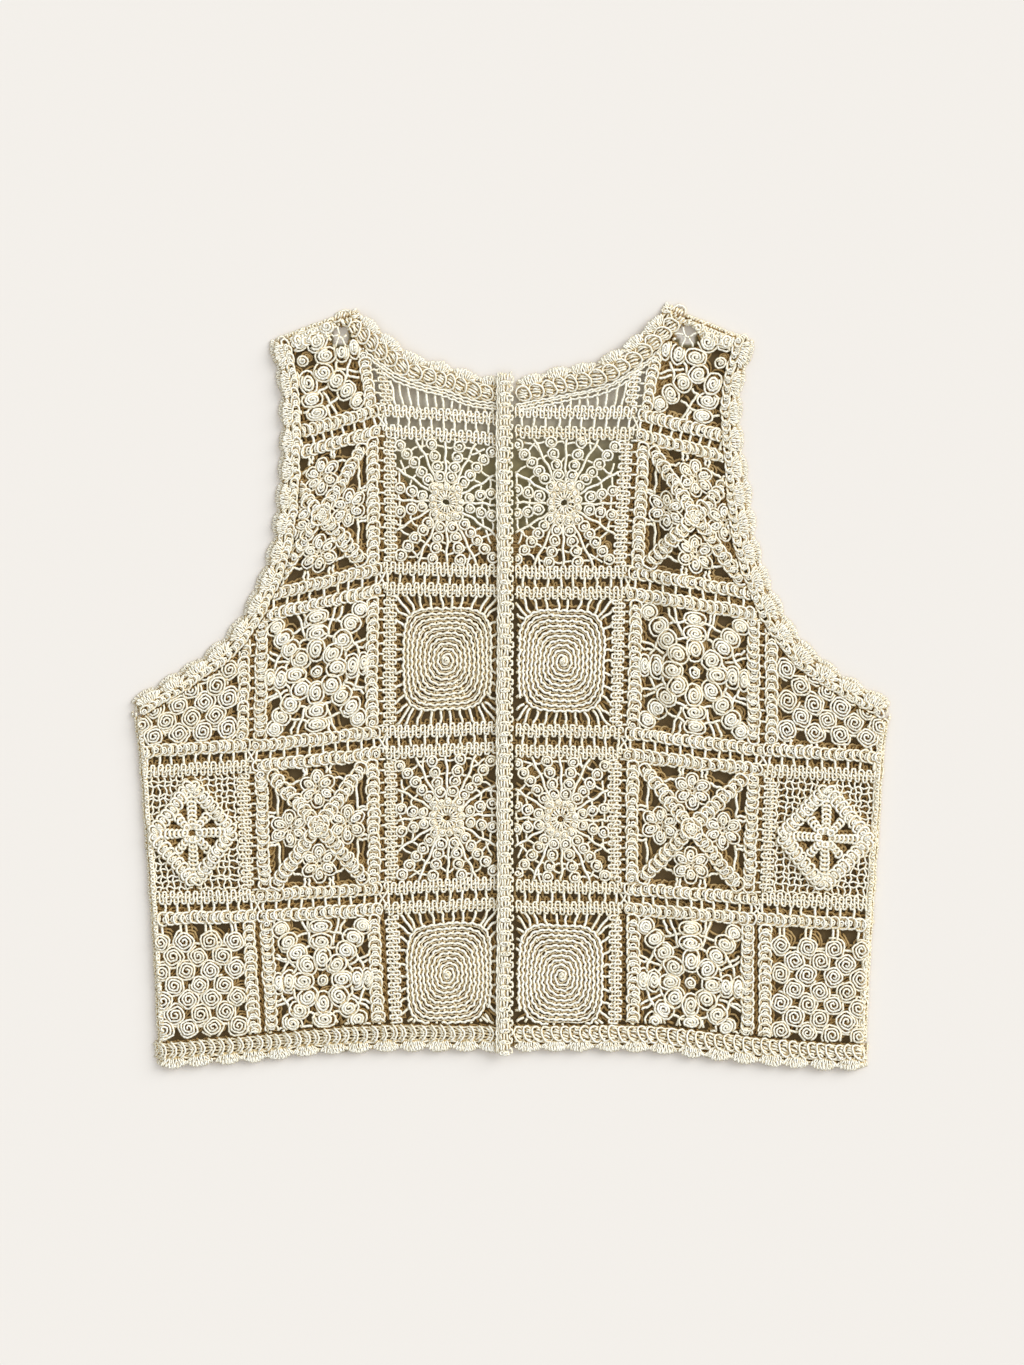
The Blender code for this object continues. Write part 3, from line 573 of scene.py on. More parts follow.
def diamond(wide, high):
    found = []
    across, up = wide - 3.8, high - 5.4  # middle of the ribbed ring
    tips = np.array([(across, 0), (0, up), (-across, 0), (0, -up)])
    for start, way in zip(tips, np.roll(tips, -1, axis=0) - tips):
        count = round(np.linalg.norm(way) / lace["ringStep"])
        middles = (np.arange(count) + 0.5)[:, None] / count * way + start
        angle = math.atan2(way[1], way[0])
        aside = leftOf(way[None]) / np.linalg.norm(way) * 3.0
        found += [ovals(middles, angle, 2.9, 4.5, 12, 2.0, 0.4, 2.6, "chain"),
                  curls(middles, angle, 1.6, 3.0, 10, 1.6, 2.4, "stitch"),
                  strands(middles - aside, middles + aside, 4, 0.5, 0.2, 1.6, 1.0, "stitch")]
    for number in range(8):  # arms from the middle to the ring
        far, width, tall = ((across - 5.2, 3.6, 1.0), (15.0, 3.2, 1.15), (up - 5.8, 3.6, 1.0),
                            (15.0, 3.2, 1.15))[number % 4]
        way = waysRound(8, 0.0, tall)[number]
        count = round((far - 3.4) / 2.9)
        middles = way * (3.6 + (far - 3.4) * (np.arange(count) + 0.4)[:, None] / count)
        found += [ovals(middles, math.atan2(way[1], way[0]), 1.9, width * np.linspace(0.72, 0.95, count) - 0.3,
                        10, 1.9, 0.35, 2.4, "chain"),
                  strands(way * 3.0, way * (far - 1.0), 8, 0.3, 0.5, 1.4, 3.0)]
    for axis, half, other in ((0, wide, high), (1, high, wide)):  # the net, upright and level
        places = np.arange(1.5 - half, half + (8 if axis == 0 else 0), lace["netStep"])
        for place in places + 0.5 * spread(len(places)):
            limit = other * max(0.0, 1 - abs(place) / half)
            for sign in (-1, 1):
                edge = other + (10 if axis == 1 and sign > 0 else 1)
                length = edge - limit
                if length >= 3:
                    ends = np.array([(place, sign * limit), (place, sign * edge)])[:, ::1 if axis == 0 else -1]
                    points = max(4, round(length / 1.8))
                    found.append(strands(*ends, points, 0.9, 0.75, 0.8, length / 7.5, "fine"))
    return found


motifs = {"neckSpokes": neckSpokes, "sunburst": sunburst, "spiral": spiral, "star": star, "flowers": flowers,
          "roses": roses, "diamond": diamond}
shelled = {"star", "flowers", "roses"}
rowsEnd = len(patterns) - 1


def border(pattern, row, column, halfWide, halfHigh):
    side, level = lace["sideBand"], lace["levelBand"]
    wide, high = halfWide - lace["sideGap"], halfHigh - lace["rowGap"]
    near = -halfWide if column == 0 else -wide
    far = halfWide + 6 if column == 2 else wide
    foot = level - high - (row == rowsEnd) * 8
    bands = [((near, high - level / 2), (far, high - level / 2), level)]
    if row < rowsEnd:
        bands.append(((far, level / 2 - high), (near, level / 2 - high), level))
    if column < 2:
        bands.append(((wide - side / 2, high - level), (wide - side / 2, foot), side))
    if column > 0:
        bands.append(((side / 2 - wide, foot), (side / 2 - wide, high - level), side))
    found = []
    for start, end, width in bands:
        line = evenLine([start, end], 4)
        length = lengthOf(line)
        found += onLine(shellBorder(length, width, lace["shellPitch"]) if pattern in shelled
                        else loopBorder(length, width), line)
    return found


def joins(halfWide, halfHigh):
    count, step, across = spaced(2 * halfWide, lace["barPitch"], 0.08)
    across = across - halfWide
    reach = lace["rowGap"] + 1.4
    found = [strands(np.stack([across, np.full(count, -halfHigh - reach)], 1),
                     np.stack([across + 0.6 * spread(count), np.full(count, -halfHigh + reach)], 1),
                     5, 0.6, 0.15, 1.1, 1.0)]
    count, step, up = spaced(2 * halfHigh, lace["tiePitch"], 0.08)
    up = up - halfHigh
    reach = lace["sideGap"] + 1.2
    found.append(strands(np.stack([np.full(count, halfWide - reach), up], 1),
                         np.stack([np.full(count, halfWide + reach), up + 0.5 * spread(count)], 1),
                         3, 0.4, 0.1, 1.1, 1.0, "stitch"))
    corner = np.array([halfWide, -halfHigh])
    ties = np.array([(-3.8, 6.2), (3.8, 6.2)])
    return found + [strands(corner + ties, corner - ties, 6, 0.8, 0.3, 1.2, 1.0, "stitch")]


def squareRuns(side, row, column, slip=(0.0, 0.0)):
    above, below = np.array(squareCorners[side][row:row + 2], float)
    topNear, topFar = above[column:column + 2]
    lowNear, lowFar = below[column:column + 2]
    halfWide = (np.linalg.norm(topFar - topNear) + np.linalg.norm(lowFar - lowNear)) / 4
    halfHigh = (np.linalg.norm(topNear - lowNear) + np.linalg.norm(topFar - lowFar)) / 4
    pattern = patterns[row][column]
    inset = lace["sideGap"] + lace["sideBand"]
    nearInset = lace["frontInset"] if column == 0 else inset
    motif = motifs[pattern](halfWide - (nearInset + inset) / 2, halfHigh - lace["rowGap"] - lace["levelBand"])
    runs = moved(motif, [(nearInset - inset) / 2, 0, 0]) + border(pattern, row, column, halfWide, halfHigh)
    if row < rowsEnd:
        runs += joins(halfWide, halfHigh)
    placed = []
    for run, closed, radius in runs:
        s, t = (run[:, :, :1] / halfWide + 1) / 2, (run[:, :, 1:2] / halfHigh + 1) / 2
        spot = (lowNear * (1 - s) + lowFar * s) * (1 - t) + (topNear * (1 - s) + topFar * s) * t
        placed.append((np.concatenate([toSide(side, spot) + slip, run[:, :, 2:]], 2), closed, radius))
    return placed


def columnRuns(side, number, slip=(0.0, 0.0)):
    runs = []
    for row, names in enumerate(patterns):
        if names[number] != "none":
            runs += squareRuns(side, row, number, slip)
    return runs


# Materials

def linear(hexColour):
    parts = [int(hexColour[i:i + 2], 16) / 255 for i in (1, 3, 5)]
    return (*[c / 12.92 if c <= 0.04045 else ((c + 0.055) / 1.055) ** 2.4 for c in parts], 1.0)


def addNode(tree, kind, settings=None, links=None):
    node = tree.nodes.new(kind)
    for key, value in (settings or {}).items():
        if isinstance(key, str) and hasattr(node, key):
            setattr(node, key, value)
        else:
            node.inputs[key].default_value = value
    for key, socket in (links or {}).items():
        tree.links.new(socket, node.inputs[key])
    return node


cottonLook = {
    "light": "#FEFFF8",    # bleached cream of the yarn in full light
    "warm": "#FAF8E9",     # a few lengths that have yellowed slightly
    "paintedHalfShade": "#FFF1CA",     # painted half shade: warm cream where yarn close by takes some of the light away
    "shade": "#FBDA9F",    # warm tan between stitches, where light only comes off other yarn
    "deep": "#7E5A34",     # painted deep shade: brown where yarn close over a spot keeps almost all light off it
    "paintedShadeUnderFronts": "#B39A70",  # painted shade on the back, where the fronts lie over it and let little light through
    "edge": "#F6E8C2",     # painted shade: a warm tan tint on the rounded sides of each strand, where they turn away from the light overhead
    "reach": 5.0,          # mm over which yarn close by takes the light away
    "roughness": 0.78,     # matt plied cotton
    "specular": 0.25,
    "sheen": 0.12,         # loose fibres catch light at the edges
    "plyPitch": 2.6,       # mm along the yarn for one turn of its two plies
    "plyDepth": 0.3,       # mm
}


def cottonYarn(name, look):  # two-ply cotton, matt, with a faint twist along it, and painted shade between stitches, on the sides of each strand and on the back under the fronts
    material = bpy.data.materials.new(name)
    material.use_nodes = True
    tree = material.node_tree
    shader = tree.nodes["Principled BSDF"]
    tone = addNode(tree, "ShaderNodeAttribute", {"attribute_name": "tone"})
    bare = addNode(tree, "ShaderNodeMix",
                   {"data_type": "RGBA", 6: linear(look["light"]), 7: linear(look["warm"])},
                   {0: tone.outputs["Fac"]})
    # painted shade: how open to the air a spot is, as a colour from deep brown to white, multiplied into the
    # yarn's colour
    near = addNode(tree, "ShaderNodeAmbientOcclusion", {"samples": 8, "Distance": look["reach"] * mm})
    ramp = addNode(tree, "ShaderNodeValToRGB", {}, {"Fac": near.outputs["AO"]})
    stops = ramp.color_ramp.elements
    for index, (place, colour) in enumerate(((0.02, look["deep"]), (0.60, "#FFFFFF"), (0.15, look["shade"]),
                                             (0.34, look["paintedHalfShade"]))):
        stop = stops[index] if index < 2 else stops.new(place)
        stop.position, stop.color = place, linear(colour)
    shaded = addNode(tree, "ShaderNodeMix", {"data_type": "RGBA", "blend_type": "MULTIPLY", 0: 1.0},
                     {6: bare.outputs[2], 7: ramp.outputs["Color"]})
    # painted shade on the sides of each strand: the less its normal points up, the more it is tinted warm tan
    facing = addNode(tree, "ShaderNodeSeparateXYZ", {},
                     {0: addNode(tree, "ShaderNodeNewGeometry").outputs["Normal"]})
    edge = addNode(tree, "ShaderNodeMapRange", {1: 0.40, 2: 0.78, 3: 1.0, 4: 0.0}, {0: facing.outputs["Z"]})
    sidesPaintedShade = addNode(tree, "ShaderNodeMix",
                    {"data_type": "RGBA", "blend_type": "MULTIPLY", 7: linear(look["edge"])},
                    {0: edge.outputs[0], 6: shaded.outputs[2]})
    # painted shade on the back where the fronts lie over it, only on faces that point up
    above = addNode(tree, "ShaderNodeMath", {"operation": "ADD", "use_clamp": True, 1: 0.6},
                    {0: facing.outputs["Z"]})
    paintedShadeCover = addNode(tree, "ShaderNodeAttribute", {"attribute_name": "paintedShadeCover"})
    paintedShadeUnderFronts = addNode(tree, "ShaderNodeMath", {"operation": "MULTIPLY"},
                      {0: paintedShadeCover.outputs["Fac"], 1: above.outputs[0]})
    dim = addNode(tree, "ShaderNodeMix",
                  {"data_type": "RGBA", "blend_type": "MULTIPLY", 7: linear(look["paintedShadeUnderFronts"])},
                  {0: paintedShadeUnderFronts.outputs[0], 6: sidesPaintedShade.outputs[2]})
    tree.links.new(dim.outputs[2], shader.inputs["Base Color"])
    uv = addNode(tree, "ShaderNodeUVMap", {"uv_map": "yarn"})
    parts = addNode(tree, "ShaderNodeSeparateXYZ", {}, {0: uv.outputs["UV"]})
    turn = addNode(tree, "ShaderNodeMath", {"operation": "MULTIPLY", 1: tau / look["plyPitch"]},
                   {0: parts.outputs["X"]})
    twist = addNode(tree, "ShaderNodeMath", {"operation": "MULTIPLY_ADD", 1: 2 * tau},
                    {0: parts.outputs["Y"], 2: turn.outputs[0]})
    ply = addNode(tree, "ShaderNodeMath", {"operation": "SINE"}, {0: twist.outputs[0]})
    bump = addNode(tree, "ShaderNodeBump", {"Strength": 0.3, "Distance": look["plyDepth"] * mm},
                   {"Height": ply.outputs[0]})
    tree.links.new(bump.outputs["Normal"], shader.inputs["Normal"])
    shader.inputs["Roughness"].default_value = look["roughness"]
    shader.inputs["Specular IOR Level"].default_value = look["specular"]
    shader.inputs["Sheen Weight"].default_value = look["sheen"]
    return material


cotton = cottonYarn("cotton_yarn_cream", cottonLook)


# Tubes round the yarn, joined as one piece

def handwork(points):  # no two stitches of hand crochet are alike
    x, y = points[:, 0], points[:, 1]
    drift = np.zeros_like(points)
    drift[:, 0] = 0.35 * np.sin(x / 6.1 + y / 9.7) * np.cos(y / 7.3 - x / 17.0) + 0.4 * np.sin(y / 31 + x / 53)
    drift[:, 1] = 0.35 * np.sin(y / 5.7 - x / 11.3) * np.cos(x / 8.1 + y / 19.0) + 0.4 * np.sin(x / 37 - y / 47)
    return points + (drift + dice.normal(0, 0.15, points.shape))


def yarnPiece(name, nodes, runs, height, loop=None, limit=None, paintedShadeCover=None):
    sides = 3
    rows = []
    first = 0
    for run, closed, radius in runs:
        count, length = run.shape[:2]
        index = first + np.arange(count * length).reshape(count, length)
        after, before = np.roll(index, -1, 1), np.roll(index, 1, 1)
        if not closed:
            after[:, -1] = before[:, 0] = -1
        rows.append((run.reshape(-1, 3), after.ravel(), before.ravel(),
                     np.repeat(dice.uniform(0, 1, count), length), np.full(count * length, radius)))
        first += count * length
    points, nexts, lasts, tones, radii = [np.concatenate(part) for part in zip(*rows)]
    keep = ~np.isnan(points[:, 0])  # a run is cut where it isn't a number
    points = np.nan_to_num(points)
    if loop is not None:
        keep &= insideOf(loop, points)
    if limit is not None:
        keep &= limit(points)
    points = handwork(points)
    points[:, 2] += height(points[:, 0], points[:, 1])
    nexts, lasts = [np.where((ends >= 0) & keep & keep[ends], ends, -1) for ends in (nexts, lasts)]
    used = (nexts >= 0) | (lasts >= 0)
    number = np.cumsum(used) - 1
    points, tones, radii = points[used], tones[used], radii[used]
    nexts, lasts = [np.where(ends[used] >= 0, number[ends[used]], -1) for ends in (nexts, lasts)]
    own = np.arange(len(points))
    along = points[np.where(nexts >= 0, nexts, own)] - points[np.where(lasts >= 0, lasts, own)]
    along /= np.maximum(np.linalg.norm(along, axis=1), 1e-6)[:, None]
    across = np.stack([along[:, 1], -along[:, 0], np.zeros(len(points))], 1)
    across /= np.maximum(np.linalg.norm(across, axis=1), 1e-6)[:, None]
    angle = np.arange(sides) * tau / sides - tau / 4  # a flat side on top
    upward = np.cross(across, along)
    ring = across[:, None] * np.cos(angle)[:, None] + upward[:, None] * np.sin(angle)[:, None]
    skin = points[:, None] + ring * (radii / np.cos(angle).max())[:, None, None]
    start = own[nexts >= 0]
    end = nexts[start]
    a = np.arange(sides)
    b = (a + 1) % sides
    quads = np.stack([start[:, None] * sides + a, end[:, None] * sides + a,
                      end[:, None] * sides + b, start[:, None] * sides + b], 2).reshape(-1, 4)
    caps = np.vstack([own[(lasts < 0) & (nexts >= 0)][:, None] * sides + a,
                      own[(nexts < 0) & (lasts >= 0)][:, None] * sides + a[::-1]])
    steps = np.zeros(len(points))
    steps[start] = np.linalg.norm(points[end] - points[start], axis=1)
    uStart = np.repeat((np.cumsum(steps) - steps)[start], sides)
    uEnd = uStart + np.repeat(steps[start], sides)
    vLow = np.tile(a / sides, len(start))
    vHigh = vLow + 1 / sides
    uv = np.stack([uStart, vLow, uEnd, vLow, uEnd, vHigh, uStart, vHigh], 1).reshape(-1, 2)
    # how much painted shade each point gets, from the given mask
    paintedShadeMask = paintedShadeCover(points) if paintedShadeCover else np.zeros(len(points))
    mesh = meshOf(name, skin.reshape(-1, 3), quads, caps, uv)
    for attribute, values in (("tone", tones), ("paintedShadeCover", paintedShadeMask)):
        mesh.attributes.new(attribute, "FLOAT", "POINT").data.foreach_set(
            "value", np.repeat(values, sides).astype(np.float32))
    mesh.materials.append(cotton)
    piece = bpy.data.objects.new(name, mesh)
    bpy.context.scene.collection.objects.link(piece)
    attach(piece, "root")
    if nodes:
        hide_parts(*nodes)
    print(name, "triangles", len(quads) * 2 + len(caps) * (sides - 2))
    return piece


def meshOf(name, vertices, quads, caps, uv):
    mesh = bpy.data.meshes.new(name)
    corners = np.concatenate([quads.ravel(), caps.ravel()]).astype(np.int32)
    sizes = np.concatenate([np.full(len(quads), 4), np.full(len(caps), caps.shape[1])]).astype(np.int32)
    mesh.vertices.add(len(vertices))
    mesh.vertices.foreach_set("co", ((vertices - [*garment["middle"], 0]) * mm).astype(np.float32).ravel())
    mesh.loops.add(len(corners))
    mesh.loops.foreach_set("vertex_index", corners)
    mesh.polygons.add(len(sizes))
    mesh.polygons.foreach_set("loop_start", (np.cumsum(sizes) - sizes).astype(np.int32))
    mesh.polygons.foreach_set("use_smooth", np.ones(len(sizes), bool))
    mesh.update(calc_edges=True)
    flatUv = np.zeros((len(corners), 2), np.float32)
    flatUv[:len(uv)] = uv
    mesh.uv_layers.new(name="yarn").data.foreach_set("uv", flatUv.ravel())
    mesh.validate()
    return mesh


# Outlines of the layers, and their edgings

edgingRows = {  # the row of stitches inside the scallops, and its pitch
    "neck": (leaningShells, 8.1),
    "hem_right": (crescents, 6.6),
    "hem_left": (leaningShells, 6.4),
}
edging = {
    "pitch": 18.5,      # spacing of the scallops
    "plain": 12.8,      # depth of the edging at the armholes
    "short": 8.0,       # length of the loops in the scallops
    "crescent": 11.4,   # depth of the row inside them
}
squaresEnd = {"neck": 18.6, "armhole": 13.0, "side": 1.0, "hem": 19.4}  # under the edging


def inset(depth):
    return dict.fromkeys(squaresEnd, depth)


def flank(side, lines, depths):
    return toSide(side, np.vstack([stripLine(lines, "armhole", depths["armhole"]),
                                   offsetLine(lines["side"], depths["side"])[1:-1]]))


def frontShape(side, depths, toCentre=True):
    lines = edgeLines(side, 0.0)
    neck, hem = [toSide(side, stripLine(lines, name, depths[name])) for name in ("neck", "hem")]
    shape = [neck, flank(side, lines, depths), hem]
    if toCentre:
        shape = [[(0, neck[0, 1])]] + shape + [[(0, hem[-1, 1])]]
    return np.vstack(shape)


def backEdges():
    return {side: edgeLines(side, garment["backShows"]) for side in ("left", "right")}


def backNeckLine(depth):
    half = smoothLine(backNeck)
    whole = np.vstack([toSide("right", half), toSide("left", half[:-1])[::-1]])
    right, left = [toSide(side, backEdges()[side]["shoulder"]) for side in ("right", "left")]
    return cutBoth(offsetLine(whole, depth), right, left)


def backHemLine(depth):
    hems = {side: toSide(side, lines["hem"]) for side, lines in backEdges().items()}
    left, right = [toSide(side, lines["side"][-2:]) for side, lines in backEdges().items()]
    return cutBoth(offsetLine(np.vstack([hems["left"][:-1], hems["right"][::-1][1:]]), depth + 1), left, right)


def backShape(depths):
    left, right = [flank(side, lines, depths) for side, lines in backEdges().items()]
    return np.vstack([backNeckLine(depths["neck"]), left, backHemLine(depths["hem"]), right[::-1]])


def coveredByFronts(depth):
    shapes = [frontShape(side, inset(depth)) for side in ("right", "left")]
    return lambda points: (insideOf(shapes[0], points) | insideOf(shapes[1], points)).astype(float)


shoulderGaps = {"right": (-115.5, 242.2, 6.6), "left": (120.1, 242.6, 7.4)}  # across, up, radius: see-through


def inShoulderGap(points, more=0.0):
    return np.any([np.hypot(points[:, 0] - x, points[:, 1] - y) < radius + more
                   for x, y, radius in shoulderGaps.values()], axis=0)


def clearOfGap(points):
    return ~inShoulderGap(points)


def gapWeb(side):  # the few strands across it
    x, y, radius = shoulderGaps[side]
    angle = np.array([0.4, 1.9, 3.0, 4.3, 5.2])
    rim = np.stack([x + (radius + 1) * np.cos(angle), y + (radius + 1) * np.sin(angle)], 1)
    knot = np.array([[x + 1.2, y - 0.6], [x - 1.4, y + 0.8]])[[0, 1, 1, 1, 0]]
    return [strands(np.vstack([knot, knot[:1]]), np.vstack([rim, knot[1:2]]), 5, 0.8, 0.3, 1.2, 1.0, "stitch")]


def neckStrands(side):  # rounds of a cut-off spiral, along the underside of the neck's edging
    runs = []
    for depth, share in ((19.4, 0.78), (21.5, 0.72), (23.5, 0.64)):
        line = toSide(side, stripLine(edgeLines(side, 0.0), "neck", depth))
        length = lengthOf(line) * share
        strand = strands((0, 0), (length, 0), round(length / 1.6), 0.6, 0.4, 1.5, length / 5.6, "stitch")
        runs += onLine([strand], line)
    return runs


def chainEdge(side, line, depth):  # a chain of stitches that finishes a side or shoulder edge
    line = toSide(side, offsetLine(line, depth))
    length = lengthOf(line)
    return onLine([serpentine(length, 2.0, 4.2, 1.6), serpentine(length, 1.8, 4.2, 1.1, 6.0),
                   rail(length, 1.9, 3.0, 1.0)], line)


def edgingRuns(outer, kind, lift):
    length = lengthOf(outer)
    base = edging["short"]
    if kind == "armhole":
        width = edging["plain"] - base
        runs = moved(shellBorder(length, width + 1.4, 5.4), [0, base + width / 2 - 0.5, lift - 0.8])
    else:
        middle = base + edging["crescent"] / 2 - 0.9
        stitches, pitch = edgingRows[kind]
        runs = moved(stitches(length, edging["crescent"], pitch, lift), [0, middle, 0])
        runs += [rail(length, middle + place, lift=0.3) for place in (-4.4, -2.2, 0.0, 2.2, 4.4)]
    runs += [rail(length, base - 0.6, lift=0.9), rail(length, base * 0.62, lift=0.3)]
    count, step, middle = spaced(length, edging["pitch"], 0.05)
    loop = ((0, -0.5, 1.0), (0.4, -0.8, 1.7), (0.85, -0.7, 1.6), (1.0, 0.0, 1.3),  # out, aside, up
            (0.85, 0.7, 1.6), (0.4, 0.8, 1.7), (0, 0.5, 1.0))
    for near, far, loops in ((0.0, 0.60, 5), (0.38, 1.0, 8)):  # two tiers, fanned from the foot of each
        for number in range(loops):
            lean = (2 * number + 1) / loops - 1
            depth = (base - 0.7) - 3.1 * lean * lean
            run = np.empty((count, len(loop), 3))
            skew = 0.9 * spread(count)
            for place, (t, aside, up) in enumerate(loop):
                out = near + (far - near) * t
                run[:, place, 0] = middle + lean * step * (0.30 + 0.23 * out) + aside + skew * (t - 0.5)
                run[:, place, 0] += 0.2 * spread(count)
                run[:, place, 1] = base - depth * out + 0.3 * spread(count)
                run[:, place, 2] = up + lift - 1.1 - 0.3 * near + 0.6 * (1 - lean * lean)
            runs.append((run, False, yarn["fine"]))
    return onLine(runs, outer)


def lengthened(line, reach):  # carried straight on past its end
    way = (line[-1] - line[-2]) / np.linalg.norm(line[-1] - line[-2])
    return np.vstack([line, line[-1] + way * np.arange(4, reach, 4)[:, None]])


def edgingLine(side, line):  # an outer edge, with the cloth on its right on both sides
    return toSide(side, line)[::sideSign[side]]


print("stage: fronts")
for side in ("right", "left"):
    bandEdge = 5.5 if side == "right" else -1.0
    lines = edgeLines(side, 0.0)
    for number, letter in enumerate("abc"):
        runs = columnRuns(side, number)
        if number == 0:
            runs += neckStrands(side)
        if number == 2:
            runs += chainEdge(side, lines["side"], 2.2)
        if number == 1:
            shoulder = lines["shoulder"]
            runs += chainEdge(side, shoulder, 2.2)
            row = evenLine(toSide(side, offsetLine(shoulder, 6.8)), 4)
            runs += onLine(shellBorder(lengthOf(shoulder), 7.0, 5.6), row)
            for run, closed, radius in runs:
                run[inShoulderGap(run.reshape(-1, 3)).reshape(run.shape[:2])] = np.nan
            runs += gapWeb(side)
        name = "squares_" + side + "_" + letter
        yarnPiece(name, ["front_" + side] if number == 0 else [], runs, frontHeight,
                                 frontShape(side, squaresEnd, False),
                                 lambda p: sideSign[side] * p[:, 0] > bandEdge)
    for name, edge in (("neck_edging_", "neck"), ("armhole_edging_front_", "armhole"), ("hem_edging_", "hem")):
        outer = stripLine(lines, edge, 0.0)
        if edge == "neck":
            outer = lengthened(outer, 18)
        kind = edge + "_" + side if edge == "hem" else edge
        runs = edgingRuns(edgingLine(side, outer), kind, 1.0)
        yarnPiece(name + side + "_yarn", [name + side], runs, frontHeight,
                  frontShape(side, inset(0.0)) if edge == "neck" else None, clearOfGap)

print("stage: back")
backSlip = (2.8, 3.0)  # the back's squares lie this far across and up from the fronts', so they show through
peeks = {"right": 0.6, "left": 2.6}  # how far its armhole edging slips out from under the front
# where the back lies under the fronts, which its yarn gets painted shade
underFronts = coveredByFronts(2.5)
for number, letter in enumerate("abc"):
    runs = []
    for side in ("right", "left"):
        runs += columnRuns(side, number, backSlip)
        if number == 2:
            runs += chainEdge(side, backEdges()[side]["side"], 1.4)
        if number == 1:
            runs += chainEdge(side, backEdges()[side]["shoulder"], 1.3)
    name = "back_squares_" + letter
    yarnPiece(name, ["back"] if number == 0 else [], runs, backHeight, backShape(squaresEnd),
                             clearOfGap, underFronts)
for kind, outer in (("neck", backNeckLine(0.0)), ("hem_right", backHemLine(0.0))):
    name = kind.split("_")[0] + "_edging_back"
    yarnPiece(name + "_yarn", [name], edgingRuns(outer, kind, 0.3), backHeight, None, clearOfGap, underFronts)
for side in ("right", "left"):
    outer = stripLine(backEdges()[side], "armhole", 0.0)
    fade = smoothStep((175 - outer[:, 1]) / 40) * smoothStep((outer[:, 1] - 5) / 35)
    outer = outer - normalsOf(outer) * (peeks[side] * fade)[:, None]
    name = "armhole_edging_back_" + side
    yarnPiece(name + "_yarn", [name], edgingRuns(edgingLine(side, outer), "armhole", 0.3), backHeight,
              paintedShadeCover=underFronts)

print("stage: band")
band = {"middle": -4.2, "top": 217.0, "foot": -245.0, "clusterPitch": 7.4, "lift": 2.0}


def bandRuns():
    length = band["top"] - band["foot"]
    # across runs towards the picture's left, where the band's straight edge is
    runs = [rail(length, 4.7, 2.3, 1.7, 0.40), rail(length, 3.2, 2.3, 1.9, 0.50),
            rail(length, -0.6, 3.4, 1.2, 0.4), rail(length, 1.6, 3.4, 1.3, 0.4)]
    runs += moved([serpentine(length, 1.8, 6.4, 1.6)], [0, -4.6, 0])
    count, step, along = spaced(length, band["clusterPitch"], 0.06)
    for across in (1.9, 0.1, -2.2):  # upright bars in pairs, over and under level clusters
        start, end = [np.stack([along + step * reach, across + 0.4 * spread(count)], 1)
                      for reach in (-0.34, 0.30)]
        runs.append(strands(start, end, 4, 0.4, 0.1, 2.3, 1.0, "stitch"))
    clusters = np.stack([along + step * 0.5, np.full(count, -0.4)], 1)
    runs += [ovals(clusters, tau / 4, 3.2, 1.2, 10, 2.2, 0.2, 2.4, "stitch"),
             curls(clusters, 0, 1.4, 2.4, 7, 1.2, 2.3, "stitch")]
    return onLine(runs, evenLine([[band["middle"], band["top"]], [band["middle"], band["foot"]]], 6))


yarnPiece("centre_band", ["front_band"], bandRuns(), lambda x, y: frontHeight(x, y) + band["lift"])

print("stage: camera and light")
view = {
    "mmPerPixel": 0.68,
    "pixelsHigh": 1365,
    "aim": (0.52, 4.42),  # mm from the middle
    "distance": 2.4,      # m over the table
    "clothHigh": 0.005,   # m over it, where that scale holds
    "sensor": 36.0,
}

camera = bpy.data.cameras.new("camera")
cameraObject = bpy.data.objects.new("camera", camera)
bpy.context.scene.collection.objects.link(cameraObject)
bpy.context.scene.camera = cameraObject
camera.sensor_width = view["sensor"]
frameHigh = view["pixelsHigh"] * view["mmPerPixel"] * mm
camera.lens = view["sensor"] * (view["distance"] - view["clothHigh"]) / frameHigh
camera.clip_start = 0.1
camera.clip_end = 20
cameraObject.location = (view["aim"][0] * mm, view["aim"][1] * mm, view["distance"])

studio = {
    "floor": "#E5E2DE",
    "floorPaintedShadeOneLayer": "#807859",   # painted shade on the floor where the lace over it keeps the light off: olive under one layer of it
    "floorPaintedShadeTwoLayers": "#64543A",    # and brown under both
    "floorSize": 15.0,
    "floorReach": 284,         # mm from the middle, of the fine part of the floor
    "floorStep": 4.0,
    "keyStrength": 2.35,
    "keyAngle": 40,            # degrees across, for soft shadow edges
    "keyTilt": 60,             # degrees off straight down
    "keyTurn": 30,             # degrees from +x towards +y, the light's side
    "sky": "#FFFEFC",
    "skyStrength": 1.0,
    "skyLeast": 0.11,          # and at the horizon
}


def floorMaterial():  # matt paper, with painted shade where the garment lies over it
    material = bpy.data.materials.new("matt_paper_floor")
    material.use_nodes = True
    tree = material.node_tree
    shader = tree.nodes["Principled BSDF"]
    paintedShadeCover = addNode(tree, "ShaderNodeAttribute", {"attribute_name": "paintedShadeCover"})
    ramp = addNode(tree, "ShaderNodeValToRGB", {}, {"Fac": paintedShadeCover.outputs["Fac"]})
    stops = ramp.color_ramp.elements
    stops[0].color = linear(studio["floor"])
    stops[1].color = linear(studio["floorPaintedShadeTwoLayers"])
    stops.new(0.5).color = linear(studio["floorPaintedShadeOneLayer"])
    tree.links.new(ramp.outputs["Color"], shader.inputs["Base Color"])
    shader.inputs["Roughness"].default_value = 0.9
    shader.inputs["Specular IOR Level"].default_value = 0.1
    return material


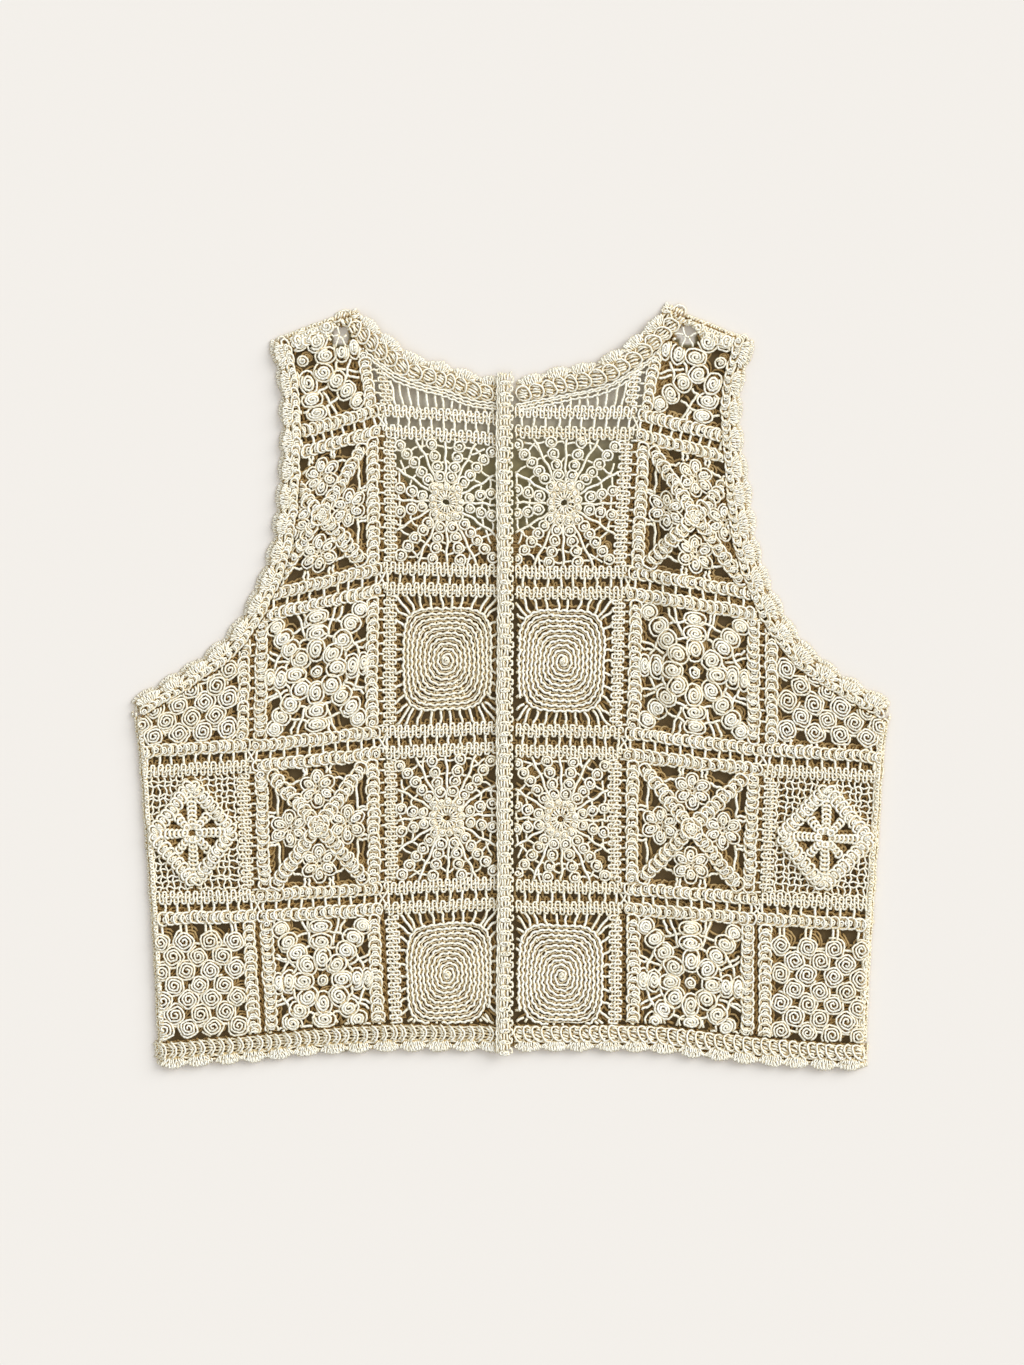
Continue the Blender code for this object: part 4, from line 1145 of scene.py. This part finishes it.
def floorGrid():
    half = studio["floorSize"] / 2
    fine = np.arange(-studio["floorReach"], studio["floorReach"] + 1, studio["floorStep"])
    ticks = np.concatenate([[-half / mm], fine, [half / mm]])
    x, y = [part.ravel() for part in np.meshgrid(ticks, ticks)]
    points = np.stack([x, y], 1) + garment["middle"]
    single = 0.5 - 0.24 * smoothStep((points[:, 1] - 150) / 60)  # painted shade under one layer of lace, lighter towards the neck
    shade = coveredByFronts(4.5)(points) * coveredByFronts(4.5)(points + [0, 7])
    paintedShadeCover = np.where(insideOf(backShape(inset(4.5)), points + [0, 7]), 0.5 + 0.5 * shade, single) * shade
    paintedShadeCover[inShoulderGap(points, 1.0)] = 0
    count = len(ticks)
    corner = (np.arange(count - 1)[:, None] * count + np.arange(count - 1)).ravel()
    mesh = bpy.data.meshes.new("floor")
    mesh.from_pydata(np.stack([x * mm, y * mm, np.full(len(x), -0.0004)], 1).tolist(), [],
                     np.stack([corner, corner + 1, corner + 1 + count, corner + count], 1).tolist())
    mesh.attributes.new("paintedShadeCover", "FLOAT", "POINT").data.foreach_set("value", paintedShadeCover.astype(np.float32))
    mesh.materials.append(floorMaterial())
    return mesh


floor = bpy.data.objects.new("floor", floorGrid())
bpy.context.scene.collection.objects.link(floor)

sun = bpy.data.lights.new("key", "SUN")
sun.energy = studio["keyStrength"]
sun.angle = math.radians(studio["keyAngle"])
sunObject = bpy.data.objects.new("key", sun)
sunObject.rotation_euler = (0, math.radians(studio["keyTilt"]), math.radians(studio["keyTurn"]))
bpy.context.scene.collection.objects.link(sunObject)

world = bpy.data.worlds.new("studio")
bpy.context.scene.world = world
world.use_nodes = True
tree = world.node_tree
sky = tree.nodes["Background"]
sky.inputs["Color"].default_value = linear(studio["sky"])
toward = addNode(tree, "ShaderNodeSeparateXYZ", {},
                 {0: addNode(tree, "ShaderNodeTexCoord").outputs["Generated"]})
overhead = addNode(tree, "ShaderNodeMath",  # a softbox overhead
                   {"operation": "MULTIPLY_ADD", 1: studio["skyStrength"], 2: studio["skyLeast"]},
                   {0: toward.outputs["Z"]})
bright = addNode(tree, "ShaderNodeMath", {"operation": "MAXIMUM", 1: studio["skyLeast"]},
                 {0: overhead.outputs[0]})
tree.links.new(bright.outputs[0], sky.inputs["Strength"])
bpy.context.scene.view_settings.view_transform = "Standard"

# a loop over the two fronts, which does nothing
for side in ("right", "left"):
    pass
